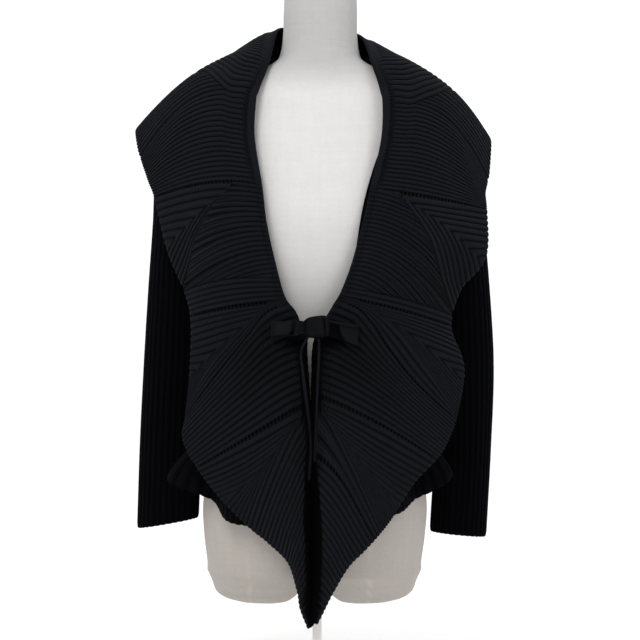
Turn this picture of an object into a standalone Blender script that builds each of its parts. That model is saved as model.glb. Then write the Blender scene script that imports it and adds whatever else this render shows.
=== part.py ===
"""Ribbed shawl-collar cardigan, tied at the waist, on a limbless dress form.

Metres, +Z up, the wearer facing -Y, so the wearer's right side is -X.  The origin is the
middle of the stand's underside.  Tables are in millimetres and are scaled by MM.
"""
import math
from collections import namedtuple

import bmesh
import bpy
import numpy as np

MM = 0.001

# ---------------------------------------------------------------- driving sizes
WALL = 2.2 * MM               # knit wall between its ribs
COLLAR_WALL = 3.0 * MM        # the collar's thicker knit
RIB_RISE = 1.3 * MM           # how far a rib stands over the wall
CROWDED_RISE = 0.3            # most that a rib rises, as a share of the step beside it
SEAM_GAP = 0.6 * MM           # play between neighbouring pieces
RIGHT, LEFT = -1, 1           # the wearer's sides as signs of X
FACE_FRONT = -1               # sign of Y for the wearer's front

FORM_TURNS = 28               # points round the dress form
FORM_SQUARENESS = 2.35        # exponent of the form's rounded sections
FORM_LEAN = 0.011             # sideways lean of the form for each metre of height
LEAN_PIVOT = 540 * MM
CROTCH_HEIGHT = 168 * MM
SADDLE_RISE = 8 * MM

POLE_RADIUS = 7 * MM
POLE_SHOULDER = 148 * MM
POLE_TIP_RADIUS = 2.5 * MM
POLE_TOP = 167.4 * MM
NECK_CAP_SHARE = 0.9          # the neck's flat cap as a share of its width
NECK_CAP_RISE = 4 * MM
NECK_CAP_CROWN = 6 * MM
SADDLE_POINTS = 5

BASE_RADIUS = 150 * MM
BASE_THICKNESS = 10 * MM
BASE_EDGE = 3 * MM
BASE_TURNS = 32
POLE_TURNS = 12

HEM_START = 425 * MM          # height where the hem's flare begins
ARMHOLE_MIDDLE = 784 * MM
ARMHOLE_HALF_HEIGHT = 80 * MM
ARMHOLE_HALF_ANGLE = 27.0     # degrees each way from the side seam
ARMHOLE_TURN = 550            # degrees round the body for each metre along it, by the armhole
ARMHOLE_LAP = 2 * MM          # how far a sleeve's head laps over the armhole's edge
FRONT_RIBS = 16
BACK_RIBS = 30
SLEEVE_RIBS = 24

BAND_WIDTH = 12 * MM
BAND_WALL = 3.6 * MM
BAND_COLUMNS = 39
FINE_SAMPLES = 336            # samples that the band's even columns are read from
BAND_PLAY = 2.6               # seam gaps between the band and the collar
TAPE_WIDTH = 25 * MM
TAPE_THICKNESS = 1.8 * MM
TIE_RADIUS = 2.4 * MM

# ---------------------------------------------------------------- dress form
Section = namedtuple("Section", "height half_width front back")
FORM = (
    Section(180, 160, 98, 96),
    Section(220, 165, 106, 106),
    Section(270, 167, 111, 112),
    Section(320, 157, 110, 108),
    Section(380, 137, 102, 94),
    Section(440, 119, 90, 78),
    Section(480, 117, 88, 74),
    Section(560, 127, 99, 78),
    Section(640, 144, 120, 88),
    Section(690, 150, 127, 94),
    Section(740, 157, 120, 99),
    Section(800, 172, 105, 100),
    Section(845, 183, 92, 95),
    Section(868, 180, 86, 90),
    Section(884, 163, 80, 84),
    Section(898, 132, 75, 78),
    Section(911, 100, 69, 70),
    Section(920, 76, 64, 64),
    Section(928, 64, 60, 58),
    Section(940, 59, 57, 53),
    Section(960, 56, 56, 50),
    Section(1000, 55, 56, 48),
    Section(1030, 54, 55, 47),
)
FORM_RINGS = (1030, 985, 950, 934, 922, 910, 896, 882, 866, 842, 805, 760, 715, 675, 630, 565,
              500, 440, 385, 335, 290, 250, 210, 180)
# Each thigh stub below the crotch: its height, how far its middle lies from the form's
# middle, and its size as a share of the loop at the crotch.
Stub = namedtuple("Stub", "height middle share")
STUB_RINGS = (
    Stub(152, 84, 0.86),
    Stub(137, 88, 0.74),
    Stub(127, 88, 0.58),
    Stub(120, 87, 0.32),
)
STUB_BOTTOM = 118

# ---------------------------------------------------------------- body panels
Ease = namedtuple("Ease", "height gap")
EASE = (Ease(240, 9), Ease(300, 8), Ease(360, 8), Ease(420, 9), Ease(480, 12), Ease(560, 11),
        Ease(620, 8), Ease(690, 6), Ease(755, 5), Ease(810, 5), Ease(862, 6.6), Ease(925, 4))
PANEL_ROWS = (925, 907, 889, 871, 850, 812, 765, 705, 655, 590, 500, 425)
HEM_STEPS = (0.3, 0.55, 0.8, 1.0)

# Front edge of each front panel: its distance from the middle at each height.
FrontEdge = namedtuple("FrontEdge", "height right left")
FRONT_EDGE = (
    FrontEdge(235, 20, 14),
    FrontEdge(400, 24, 14),
    FrontEdge(480, 26, 18),
    FrontEdge(525, 32, 26),
    FrontEdge(560, 48, 38),
    FrontEdge(600, 62, 48),
    FrontEdge(650, 76, 54),
    FrontEdge(700, 86, 62),
    FrontEdge(760, 96, 78),
    FrontEdge(800, 100, 92),
    FrontEdge(850, 98, 98),
    FrontEdge(885, 94, 96),
    FrontEdge(905, 82, 84),
    FrontEdge(925, 63, 63),
)

# The flared hem: crests by their place round the body (0 at the side seam, 90 at the middle of
# the front, -90 at the middle of the back), half width in degrees and reach.
Crest = namedtuple("Crest", "place half_width reach")
HEM_CRESTS = {
    RIGHT: (Crest(20, 17, 62), Crest(52, 14, 14), Crest(-38, 17, 40), Crest(-70, 14, 20)),
    LEFT: (Crest(20, 17, 48), Crest(52, 14, 12), Crest(-36, 17, 46), Crest(-68, 14, 24)),
}
Hem = namedtuple("Hem", "place right left")
HEM_HEIGHTS = (
    Hem(-90, 262, 262),
    Hem(-60, 268, 270),
    Hem(-30, 285, 287),
    Hem(0, 290, 292),
    Hem(18, 308, 314),
    Hem(32, 284, 286),
    Hem(48, 256, 268),
    Hem(65, 246, 256),
    Hem(90, 243, 250),
)

# ---------------------------------------------------------------- sleeves
# Rings down each sleeve: the ends of the ring's width as (outward, height), half its depth
# and how far its middle lies behind the body's middle.
Ring = namedtuple("Ring", "near_x near_z far_x far_z half_depth back")
SLEEVES = {
    RIGHT: (
        Ring(166, 693, 201, 858, 53, 4),
        Ring(166, 684, 228, 826, 51, 6),
        Ring(166, 666, 242, 776, 47, 9),
        Ring(167, 622, 246, 690, 42, 12),
        Ring(168, 545, 254, 580, 35, 16),
        Ring(171, 455, 261, 468, 30, 20),
        Ring(176, 350, 267, 350, 26, 22),
        Ring(180, 243, 271, 227, 23, 22),
    ),
    LEFT: (
        Ring(168, 693, 206, 860, 53, 4),
        Ring(168, 684, 228, 825, 51, 6),
        Ring(168, 666, 240, 776, 47, 9),
        Ring(168, 622, 250, 690, 42, 12),
        Ring(167, 545, 260, 580, 35, 16),
        Ring(168, 455, 266, 468, 30, 20),
        Ring(177, 340, 262, 345, 26, 23),
        Ring(172, 222, 255, 214, 23, 24),
    ),
}

# ---------------------------------------------------------------- collar
# Sections across the collar, from the centre back, over the shoulder and down the front to
# the tail's tip.  Each has a point at the neck edge, one half way and one at the outer edge,
# as (outward, Y, height).
Across = namedtuple("Across", "name neck middle outer")
COLLAR = {
    RIGHT: (
        Across("centre back", (0.4, 66, 984), (0.4, 116, 895), (0.4, 133, 742)),
        Across("back", (38, 52, 983), (92, 108, 900), (136, 132, 756)),
        Across("neck side", (57, 8, 973), (140, 62, 926), (230, 98, 790)),
        Across("behind the shoulder", (70, -61.4, 913.3), (143, 0, 927), (266, 62, 806)),
        Across("shoulder gore", (84, -91.6, 869.8), (159, -30, 911), (272, 30, 826)),
        Across("shoulder gore's foot", (87, -98, 855), (172, -58, 873), (263, -14, 791)),
        Across("yoke", (89, -108, 802), (170, -88, 800), (248, -40, 751)),
        Across("upper eyelet line", (78, -125, 731), (150, -113, 735), (235, -54, 718)),
        Across("upper gore", (72, -131, 680), (141, -129, 674), (215, -68, 642)),
        Across("upper gore's foot", (60, -128, 623), (123, -135, 614), (192, -82, 587)),
        Across("waist eyelet line", (46, -124, 573), (112, -135, 563), (179, -94, 540)),
        Across("waist gore", (30, -124, 551), (106, -133, 523), (180, -100, 468)),
        Across("steep eyelet line", (22, -124, 528), (109, -132, 492), (187, -103, 400)),
        Across("corner", (19, -124, 494), (103, -134, 440), (190, -106, 369)),
        Across("lower eyelet line", (19, -127, 417), (86, -144, 376), (168, -111, 328)),
        Across("lower gore", (18.5, -127, 405), (78, -147, 348), (136, -116, 287)),
        Across("tail top", (18, -127, 391), (58, -149, 325), (96, -120, 247)),
        Across("tail, second", (17, -127, 336), (42, -149, 280), (67, -124, 224)),
        Across("tail, third", (15.5, -126, 265), (28, -147, 229), (38, -126, 195)),
        Across("tail, fourth", (13, -125, 197), (20, -144, 175), (25, -128, 155)),
        Across("above the tip", (12, -124, 143), (17, -138, 137), (22, -130, 130)),
        Across("tip", (9, -125, 112), (10, -132, 106), (11.5, -130, 102)),
    ),
    LEFT: (
        Across("centre back", (0.4, 66, 984), (0.4, 116, 895), (0.4, 133, 742)),
        Across("back", (38, 52, 982), (92, 108, 896), (136, 134, 752)),
        Across("neck side", (66, 8, 962), (140, 60, 914), (226, 98, 786)),
        Across("behind the shoulder", (81, -70.6, 907), (153, -2, 915), (256, 62, 797)),
        Across("shoulder gore", (91, -91.4, 870.5), (175, -37, 891), (260, 24, 810)),
        Across("shoulder gore's foot", (94, -100, 850), (179, -65, 849), (253, -20, 757)),
        Across("yoke", (92, -109, 799), (170, -92, 788), (245, -44, 725)),
        Across("upper eyelet line", (77, -125, 731), (155, -113, 716), (246, -60, 698)),
        Across("upper gore", (66, -131, 680), (149, -133, 665), (242, -84, 632)),
        Across("upper gore's foot", (50, -128, 620), (126, -135, 611), (207, -80, 583)),
        Across("waist eyelet line", (35, -124, 580), (111, -137, 561), (191, -88, 531)),
        Across("waist gore", (23, -124, 560), (112, -135, 529), (209, -100, 472)),
        Across("steep eyelet line", (7, -124, 531), (95, -138, 486), (200, -108, 407)),
        Across("corner", (-3, -124, 494), (97, -140, 434), (187, -110, 371)),
        Across("lower eyelet line", (0, -127, 431), (87, -145, 393), (171, -115, 345)),
        Across("lower gore", (0, -127, 420), (70, -148, 365), (136, -118, 308)),
        Across("tail top", (0, -127, 403), (50, -149, 336), (102, -121, 254)),
        Across("tail, second", (0, -127, 351), (30, -149, 286), (70, -124, 217)),
        Across("tail, third", (0, -126, 280), (20, -147, 235), (43, -126, 190)),
        Across("tail, fourth", (-1, -125, 203), (10, -144, 178), (21, -128, 154)),
        Across("above the tip", (-2, -124, 146), (2, -138, 135), (7, -130, 125)),
        Across("tip", (-2.5, -124, 122), (-1.5, -130, 116), (-0.5, -129, 111)),
    ),
}
SEAM_TURN = 0.6               # sections over which the centre back seam lies square
BAND_END = 11.85              # where along the sections the neck band stops
BAND_FADE = (11.95, 12.45)    # where the collar's edge then runs to the fold

# Below the bow the front edges turn in towards the form: how far each section's neck edge is
# moved towards the other side's and back, fading over a share of the breadth.
TURN_IN_START = 12
TURN_IN_SHARE = 0.16
TURN_IN_FADE = 5
TURN_IN_BACK = 15 * MM
TURN_IN_ACROSS = {RIGHT: 6 * MM, LEFT: 4 * MM}

# Wedges of ribs between the collar's eyelet lines, in sections along it.  Ribs leave the neck
# band from first to last.  From the fork outward those of a gore turn down to its foot, and
# short ribs fill the gore on both sides of its mitre, which ends at the mid.
# The plain inner face of each wedge has fewer columns than its ribs.
Wedge = namedtuple("Wedge", "first mid foot last ribs short_ribs inner_columns")
WEDGES = (
    Wedge(0, 0, 0, 1.5, 12, 0, 4),
    Wedge(1.5, 1.75, 2.0, 4, 17, 3, 10),
    Wedge(4, 4.5, 5, 7, 18, 4, 12),
    Wedge(7, 8, 9, 10, 16, 6, 15),
    Wedge(10, 11, 11.75, 12, 4, 5, 10),
    Wedge(12, 12, 12, 14, 13, 0, 8),
    Wedge(14, 15, 16, 21, 19, 5, 14),
)
FORK = 0.24                   # share of the ribs' length that lies before a gore's apex
TURN = 1.15                   # how gradually the ribs turn down past the fork
COLLAR_ROWS = (0.0, FORK, 0.5, 0.75, 1.0)
GORE_ROWS = (0.0, FORK, 0.5, 0.75, 0.88, 1.0)
LEAST_STEP = 0.04             # least share of the breadth between two points of a rib

# ---------------------------------------------------------------- bow and ties
BOW_MIDDLE = (-0.5, -147.5, 530)
KNOT_SIZE = (39, 28, 31.5)
KNOT_ROUNDING = 0.62          # 1 is an egg and 0 is a box
KNOT_BACK = 4                 # how far the knot's middle lies behind the loops'
Loop = namedtuple("Loop", "reach drop width_share")
LOOPS = {RIGHT: Loop(44, 4, 0.98), LEFT: Loop(41, 12, 1.12)}
LOOP_DEPTH = 12
LOOP_START = -1.0             # how far beyond the knot's widest point a loop's root lies
LOOP_POINTS = 19
LOOP_PINCH = 0.62             # share of the tape's width left where the knot gathers it
LOOP_OPEN = 0.12              # how far the loop's two ends stay apart at the knot, as a turn's share
# Free ends of the tie as (X, Y, height), from the knot down.
TIES = {
    RIGHT: ((-12, -148, 515.8), (-17, -150.5, 508.5), (-21.5, -153, 498), (-20, -155, 470),
            (-15, -157, 430),
            (-10, -158, 390), (-8.5, -158, 360), (-10, -157, 330), (-11, -156, 314)),
    LEFT: ((2, -148, 514.7), (3, -150.5, 508), (3, -153, 496), (1.5, -155, 460), (0, -157, 420),
           (-1, -158, 385), (-2.5, -157, 355), (-3.5, -156, 340)),
}
TIE_POINTS = {RIGHT: 14, LEFT: 12}

COLOURS = {
    "knit": ((0.012, 0.012, 0.014), 0.85),
    "band": ((0.010, 0.010, 0.012), 0.75),
    "tape": ((0.010, 0.010, 0.011), 0.6),
    "linen": ((0.74, 0.72, 0.69), 0.9),
    "stand": ((0.80, 0.79, 0.77), 0.4),
}


# ---------------------------------------------------------------- curves and meshes
def spline(knots, values, at):
    """Smooth curve through a table's rows."""
    knots = np.asarray(knots, float)
    values = np.asarray(values, float)
    at = np.clip(np.asarray(at, float), knots[0], knots[-1])
    slopes = np.gradient(values, knots, axis=0)
    row = np.clip(np.searchsorted(knots, at, side="right") - 1, 0, len(knots) - 2)
    span = knots[row + 1] - knots[row]
    share = (at - knots[row]) / span
    if values.ndim > 1:
        span = np.expand_dims(span, -1)
        share = np.expand_dims(share, -1)
    start = (2 * share ** 3 - 3 * share ** 2 + 1) * values[row]
    end = (3 * share ** 2 - 2 * share ** 3) * values[row + 1]
    leave = (share ** 3 - 2 * share ** 2 + share) * span * slopes[row]
    arrive = (share ** 3 - share ** 2) * span * slopes[row + 1]
    return start + leave + end + arrive


def unit(vectors):
    """Vectors of length one."""
    return vectors / np.linalg.norm(vectors, axis=-1, keepdims=True)


def smoothstep(value):
    """Soft ramp from 0 to 1."""
    value = np.clip(value, 0, 1)
    return value * value * (3 - 2 * value)


def zip_strip(first, second):
    """Triangles between two rows of (vertex, place along the row), walked together."""
    faces = []
    i = j = 0
    while i < len(first) - 1 or j < len(second) - 1:
        next_first = first[i + 1][1] if i < len(first) - 1 else math.inf
        next_second = second[j + 1][1] if j < len(second) - 1 else math.inf
        if next_first <= next_second:
            faces.append((first[i][0], first[i + 1][0], second[j][0]))
            i += 1
        else:
            faces.append((first[i][0], second[j + 1][0], second[j][0]))
            j += 1
    return [face for face in faces if len(set(face)) == 3]


def material(kind):
    """The material of one kind, made once."""
    found = bpy.data.materials.get(kind)
    if found:
        return found
    colour, roughness = COLOURS[kind]
    made = bpy.data.materials.new(kind)
    made.use_nodes = True
    shader = made.node_tree.nodes["Principled BSDF"]
    shader.inputs["Base Color"].default_value = (*colour, 1)
    shader.inputs["Roughness"].default_value = roughness
    shader.inputs["Metallic"].default_value = 0.0
    return made


def add_object(name, points, faces, kind, crease=math.radians(50)):
    """Closed mesh object with its faces turned outward."""
    mesh = bpy.data.meshes.new(name)
    mesh.from_pydata([tuple(point) for point in points], [], faces)
    shaped = bmesh.new()
    shaped.from_mesh(mesh)
    loose = [vertex for vertex in shaped.verts if not vertex.link_faces]
    bmesh.ops.delete(shaped, geom=loose, context="VERTS")
    bmesh.ops.recalc_face_normals(shaped, faces=shaped.faces)
    if shaped.calc_volume(signed=True) < 0:
        bmesh.ops.reverse_faces(shaped, faces=shaped.faces)
    shaped.to_mesh(mesh)
    shaped.free()
    mesh.shade_smooth()
    mesh.set_sharp_from_angle(angle=crease)
    piece = bpy.data.objects.new(name, mesh)
    piece.data.materials.append(material(kind))
    bpy.context.collection.objects.link(piece)
    return piece


class Wall:
    """A thin closed wall: a finely ribbed outer face zipped to a plain inner face."""

    def __init__(self):
        self.points = []
        self.faces = []

    def add(self, point):
        self.points.append(np.asarray(point, float))
        return len(self.points) - 1

    def strip(self, first, second):
        self.faces += zip_strip(first, second)

    def sheet(self, grid):
        """Adds rows of points with their places along the row, and returns its vertex rows."""
        rows = [[(self.add(point), place) for point, place in zip(*row)] for row in grid]
        for upper, lower in zip(rows, rows[1:]):
            self.strip(upper, lower)
        return rows

    def close(self, outer, inner, row_places, tube=False):
        """Joins the outer and inner sheets along their edges."""
        self.strip(outer[0], inner[0])
        self.strip(outer[-1], inner[-1])
        if tube:
            return
        for end in (0, -1):
            outer_edge = [(row[end][0], place) for row, place in zip(outer, row_places)]
            inner_edge = [(row[end][0], place) for row, place in zip(inner, row_places)]
            self.strip(outer_edge, inner_edge)


def rib_rise(column, pitch):
    """Height of the ribbed face at a column: crests at odd columns, lower where crowded."""
    return (column % 2) * np.minimum(RIB_RISE, CROWDED_RISE * pitch)


# ---------------------------------------------------------------- dress form
FORM_TABLE = np.array(FORM, float)


def form_section(height):
    """Half width, front depth and back depth of the form in metres at a height in metres."""
    sizes = spline(FORM_TABLE[:, 0] * MM, FORM_TABLE[:, 1:] * MM, height)
    return sizes[..., 0], sizes[..., 1], sizes[..., 2]


def form_point(side, place, height):
    """Point of the form: place is 0 at the side, 90 in front and -90 behind, in degrees."""
    half_width, front, back = form_section(height)
    angle = np.radians(place)
    power = 2 / FORM_SQUARENESS
    across = np.abs(np.cos(angle)) ** power
    along = np.abs(np.sin(angle)) ** power
    depth = np.where(angle >= 0, -front, back)
    lean = FORM_LEAN * (height - LEAN_PIVOT)
    return np.stack([side * half_width * across + lean, depth * along,
                     height + 0 * across], axis=-1)


def form_normal(side, place, height):
    """Outward direction of the form's surface."""
    turn = 1.5
    rise = 4 * MM
    round_it = form_point(side, place + turn, height) - form_point(side, place - turn, height)
    up_it = form_point(side, place, height + rise) - form_point(side, place, height - rise)
    return unit(side * np.cross(up_it, round_it))


def build_form():
    """One closed body: neck, torso and two thigh stubs that part at the crotch."""
    points = []
    faces = []
    half = FORM_TURNS // 2
    places = [-90 + 180 * step / half for step in range(half + 1)]
    walk = [(RIGHT, place) for place in places] + [(LEFT, place) for place in places[-2:0:-1]]

    def ring(height):
        first = len(points)
        for side, place in walk:
            points.append(form_point(side, place, height * MM))
        return list(range(first, first + FORM_TURNS))

    def band(upper, lower):
        for step in range(len(upper)):
            after = (step + 1) % len(upper)
            faces.append((upper[step], upper[after], lower[after], lower[step]))

    rings = [ring(height) for height in FORM_RINGS]
    neck_centre = np.mean([points[index] for index in rings[0]], axis=0)
    rim = []
    for index in rings[0]:
        cap = neck_centre + (points[index] - neck_centre) * NECK_CAP_SHARE
        points.append(cap + (0, 0, NECK_CAP_RISE))
        rim.append(len(points) - 1)
    band(rim, rings[0])
    points.append(neck_centre + (0, 0, NECK_CAP_CROWN))
    top = len(points) - 1
    for step in range(FORM_TURNS):
        faces.append((top, rim[(step + 1) % FORM_TURNS], rim[step]))

    for upper, lower in zip(rings, rings[1:]):
        band(upper, lower)
    crotch_sizes = ring(FORM_RINGS[-1])
    for index in crotch_sizes:
        points[index][2] = CROTCH_HEIGHT
    band(rings[-1], crotch_sizes)
    back_index, front_index = 0, half
    saddle = []
    for step in range(1, SADDLE_POINTS + 1):
        share = step / (SADDLE_POINTS + 1)
        start = points[crotch_sizes[front_index]]
        end = points[crotch_sizes[back_index]]
        middle = start + (end - start) * share
        points.append(middle + (0, 0, SADDLE_RISE * math.sin(math.pi * share)))
        saddle.append(len(points) - 1)
    loops = {
        RIGHT: crotch_sizes[back_index:front_index + 1] + saddle,
        LEFT: crotch_sizes[front_index:] + [crotch_sizes[back_index]] + saddle[::-1],
    }
    lean = FORM_LEAN * (CROTCH_HEIGHT - LEAN_PIVOT)
    for side, loop in loops.items():
        centre = np.mean([points[index] for index in loop], axis=0)
        upper = loop
        for stub in STUB_RINGS:
            lower = []
            for index in loop:
                away = (points[index] - centre) * stub.share
                lower.append(len(points))
                points.append(np.array((side * stub.middle * MM + lean + away[0],
                                        centre[1] + away[1], stub.height * MM)))
            band(upper, lower)
            upper = lower
        points.append(np.array((side * STUB_RINGS[-1].middle * MM + lean, centre[1],
                                STUB_BOTTOM * MM)))
        bottom = len(points) - 1
        for step in range(len(upper)):
            faces.append((bottom, upper[step], upper[(step + 1) % len(upper)]))
    add_object("dress_form", points, faces, "linen", crease=math.radians(60))


def build_stand():
    """Round base with a softened rim, and a pole up to the crotch."""
    profile = [(0, 0), (BASE_RADIUS, 0), (BASE_RADIUS, BASE_THICKNESS - BASE_EDGE),
               (BASE_RADIUS - BASE_EDGE, BASE_THICKNESS), (0, BASE_THICKNESS)]
    foot = BASE_THICKNESS + SEAM_GAP / 2
    pole = [(0, foot), (POLE_RADIUS, foot), (POLE_RADIUS, POLE_SHOULDER),
            (POLE_TIP_RADIUS, POLE_TOP), (0, POLE_TOP)]
    for name, outline, turns in (("stand_base", profile, BASE_TURNS), ("stand_pole", pole, POLE_TURNS)):
        turned = bmesh.new()
        corners = [turned.verts.new((radius, 0, height)) for radius, height in outline]
        edges = [turned.edges.new(pair) for pair in zip(corners, corners[1:])]
        bmesh.ops.spin(turned, geom=corners + edges, cent=(0, 0, 0), axis=(0, 0, 1),
                       angle=math.tau, steps=turns)
        bmesh.ops.remove_doubles(turned, verts=turned.verts, dist=0.01 * MM)
        mesh = bpy.data.meshes.new(name + "_turned")
        turned.to_mesh(mesh)
        turned.free()
        points = [np.array(vertex.co) for vertex in mesh.vertices]
        faces = [tuple(polygon.vertices) for polygon in mesh.polygons]
        add_object(name, points, faces, "stand")


# ---------------------------------------------------------------- body panels
EASE_TABLE = np.array(EASE, float) * MM
EDGE_TABLE = np.array(FRONT_EDGE, float) * MM
HEM_TABLE = np.array(HEM_HEIGHTS, float)


def hem_height(side, place):
    """Height of the hem at a place round the body."""
    column = 1 if side == RIGHT else 2
    return spline(HEM_TABLE[:, 0], HEM_TABLE[:, column] * MM, place)


def hem_flare(side, place, height):
    """How far the flared hem stands out from the body's own curve."""
    reach = 0
    for crest in HEM_CRESTS[side]:
        offset = np.clip((place - crest.place) / crest.half_width, -1, 1)
        reach = reach + crest.reach * MM * np.cos(offset * math.pi / 2) ** 2
    return reach * smoothstep((HEM_START - height) / (HEM_START - 290 * MM))


def body_point(side, place, height, out):
    """Point of the body's cloth, a distance outside its inner face."""
    ease = spline(EASE_TABLE[:, 0], EASE_TABLE[:, 1], height)
    normal = form_normal(side, place, height)
    plan = unit(normal * (1, 1, 0))
    flare = hem_flare(side, place, height)
    return form_point(side, place, height) + normal * np.expand_dims(ease + out, -1) \
        + plan * np.expand_dims(flare, -1)


def armhole_place(height):
    """How far round from the side seam the armhole's edge lies at a height, in degrees."""
    share = np.clip(1 - ((height - ARMHOLE_MIDDLE) / ARMHOLE_HALF_HEIGHT) ** 2, 0, 1)
    return ARMHOLE_HALF_ANGLE * np.sqrt(share)


def front_edge_place(side, height):
    """Place round the body of a front panel's front edge at a height."""
    column = 1 if side == RIGHT else 2
    from_middle = spline(EDGE_TABLE[:, 0], EDGE_TABLE[:, column], height)
    half_width = form_section(height)[0]
    share = np.clip(from_middle / half_width, 0, 0.985)
    return np.degrees(np.arccos(share ** (FORM_SQUARENESS / 2)))


def build_panel(name, ribs, ends, hem, point):
    """Wall of a body panel.  ends gives both edges' places at a height; hem the hem's height."""
    columns = np.arange(2 * ribs + 1)
    coarse = np.append(columns[:-1:4], columns[-1])
    halved = columns[::2]
    outer = []
    inner = []
    bottom = PANEL_ROWS[-1] * MM
    levels = [(height * MM, 0.0) for height in PANEL_ROWS] + [(bottom, step) for step in HEM_STEPS]
    for height, step in levels:
        start, end = ends(height)
        places = start + (end - start) * columns / columns[-1]
        heights = height + (hem(places) - height) * step
        plain = point(places, heights, 0.0)
        valley = point(places, heights, WALL)
        pitch = np.linalg.norm(np.gradient(valley, axis=0), axis=-1)
        rise = rib_rise(columns, pitch)
        outer.append(point(places, heights, WALL + rise))
        kept = halved if step > 0 else coarse
        inner.append((plain[kept], kept))
    wall = Wall()
    outer_rows = wall.sheet([(row, columns) for row in outer])
    inner_rows = wall.sheet(inner)
    wall.close(outer_rows, inner_rows, range(len(levels)))
    add_object(name, wall.points, wall.faces, "knit")


def build_body():
    """Back and two fronts, parted by a seam's play at the sides and shoulders."""
    seam = 0.3                # degrees from the side seam to each panel's edge

    for side, name in ((RIGHT, "front_right"), (LEFT, "front_left")):
        def ends(height, side=side):
            return front_edge_place(side, height), armhole_place(height) + seam

        def hem(place, side=side):
            return hem_height(side, place)

        def point(place, height, out, side=side):
            return body_point(side, place, height, out)

        build_panel(name, FRONT_RIBS, ends, hem, point)

    def back_ends(height):
        reach = 90 - (armhole_place(height) + seam)
        return -reach, reach

    def back_hem(across):
        place = np.abs(across) - 90
        return np.where(across < 0, hem_height(RIGHT, place), hem_height(LEFT, place))

    def back_point(across, height, out):
        place = np.abs(across) - 90
        right = body_point(RIGHT, place, height, out)
        left = body_point(LEFT, place, height, out)
        return np.where((across < 0)[:, None], right, left)

    build_panel("back", BACK_RIBS, back_ends, back_hem, back_point)


# ---------------------------------------------------------------- sleeves
def build_sleeve(side, name):
    """Tube from the armhole to the cuff, ribbed along its length."""
    columns = np.arange(2 * SLEEVE_RIBS + 1)
    turn = math.tau * columns / columns[-1]
    coarse = columns[::4]
    out_of_body = WALL + RIB_RISE + 1.5 * SEAM_GAP

    def armhole_ring(spread):
        place = (ARMHOLE_HALF_ANGLE + spread * ARMHOLE_TURN) * np.cos(turn)
        height = ARMHOLE_MIDDLE + (ARMHOLE_HALF_HEIGHT + spread) * np.sin(turn)
        return body_point(side, place, height, out_of_body)

    def ring(row, grow):
        near = np.array((side * row.near_x, 0, row.near_z)) * MM
        far = np.array((side * row.far_x, 0, row.far_z)) * MM
        middle = (near + far) / 2 + (0, row.back * MM, 0)
        half = (far - near) / 2
        half_length = np.linalg.norm(half)
        up = half / half_length * (half_length + grow)
        front = np.array((0, FACE_FRONT * (row.half_depth * MM + grow), 0))
        return middle + np.outer(np.sin(turn), up) + np.outer(np.cos(turn), front)

    outer = []
    inner = []
    rings = [armhole_ring] + [lambda grow, row=row: ring(row, grow) for row in SLEEVES[side]]
    for make in rings:
        lap = ARMHOLE_LAP + WALL if make is armhole_ring else 0.0
        valley = make(lap)
        crest = make(lap + RIB_RISE)
        pitch = np.linalg.norm(np.gradient(valley, axis=0), axis=-1)
        share = (rib_rise(columns, pitch) / RIB_RISE)[:, None]
        outer.append(valley + (crest - valley) * share)
        inner.append(make(lap - WALL))
    wall = Wall()
    outer_rows = [closed_row(wall, row, columns) for row in outer]
    inner_rows = [closed_row(wall, inner[0], columns)]
    inner_rows += [closed_row(wall, row[coarse], coarse) for row in inner[1:]]
    for rows in (outer_rows, inner_rows):
        for upper, lower in zip(rows, rows[1:]):
            wall.strip(upper, lower)
    wall.close(outer_rows, inner_rows, None, tube=True)
    add_object(name, wall.points, wall.faces, "knit")


def closed_row(wall, row, places):
    """Adds a ring of points whose last column is its first."""
    made = [(wall.add(point), place) for point, place in zip(row[:-1], places)]
    return made + [(made[0][0], places[-1])]


# ---------------------------------------------------------------- collar
def collar_tables(side):
    """The collar's sections as arrays, outward made into X."""
    flip = np.array((side, 1, 1)) * MM
    return [np.array([getattr(row, part) for row in COLLAR[side]], float) * flip
            for part in ("neck", "middle", "outer")]


COLLAR_TABLES = {side: collar_tables(side) for side in (RIGHT, LEFT)}
COLLAR_PLACES = np.arange(len(COLLAR[RIGHT]))


def collar_point(side, along, across):
    """Point of the collar's inner face; across is 0 at the neck edge and 1 at the outer."""
    neck, middle, outer = (spline(COLLAR_PLACES, table, along)
                           for table in COLLAR_TABLES[side])
    share = np.expand_dims(np.asarray(across, float), -1)
    flat = neck * (1 - share) * (1 - 2 * share) + middle * 4 * share * (1 - share) \
        + outer * share * (2 * share - 1)
    amount = smoothstep((np.asarray(along, float) - TURN_IN_START) / 2)
    amount = amount * smoothstep((COLLAR_PLACES[-1] - along) / TURN_IN_FADE)
    curl = np.expand_dims(amount, -1) * np.clip(1 - share / TURN_IN_SHARE, 0, 1) ** 2
    return flat + curl * np.array((-side * TURN_IN_ACROSS[side], TURN_IN_BACK, 0))


def collar_normal(side, along, across):
    """Outward direction of the collar's face."""
    step = 0.04
    lengthwise = collar_point(side, along + step, across) - collar_point(side, along - step, across)
    sideways = collar_point(side, along, across + step) - collar_point(side, along, across - step)
    normal = side * np.cross(lengthwise, sideways)
    upright = smoothstep(np.asarray(along, float) / SEAM_TURN)
    return unit(normal * np.stack([upright, upright ** 0, upright ** 0], axis=-1))


def band_share(side, along):
    """Share of the collar's breadth that the neck band takes."""
    breadth = np.linalg.norm(collar_point(side, along, 1.0) - collar_point(side, along, 0.0),
                             axis=-1)
    fade = 1 - smoothstep((along - BAND_FADE[0]) / (BAND_FADE[1] - BAND_FADE[0]))
    return BAND_WIDTH / breadth * fade


def knit_point(side, along, across, out):
    """Point of the ribbed part, whose across runs from the band to the outer edge."""
    along = np.asarray(along, float)
    start = band_share(side, along)
    place = start + (1 - start) * across
    return collar_point(side, along, place) + collar_normal(side, along, place) \
        * np.expand_dims(out, -1)


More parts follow.
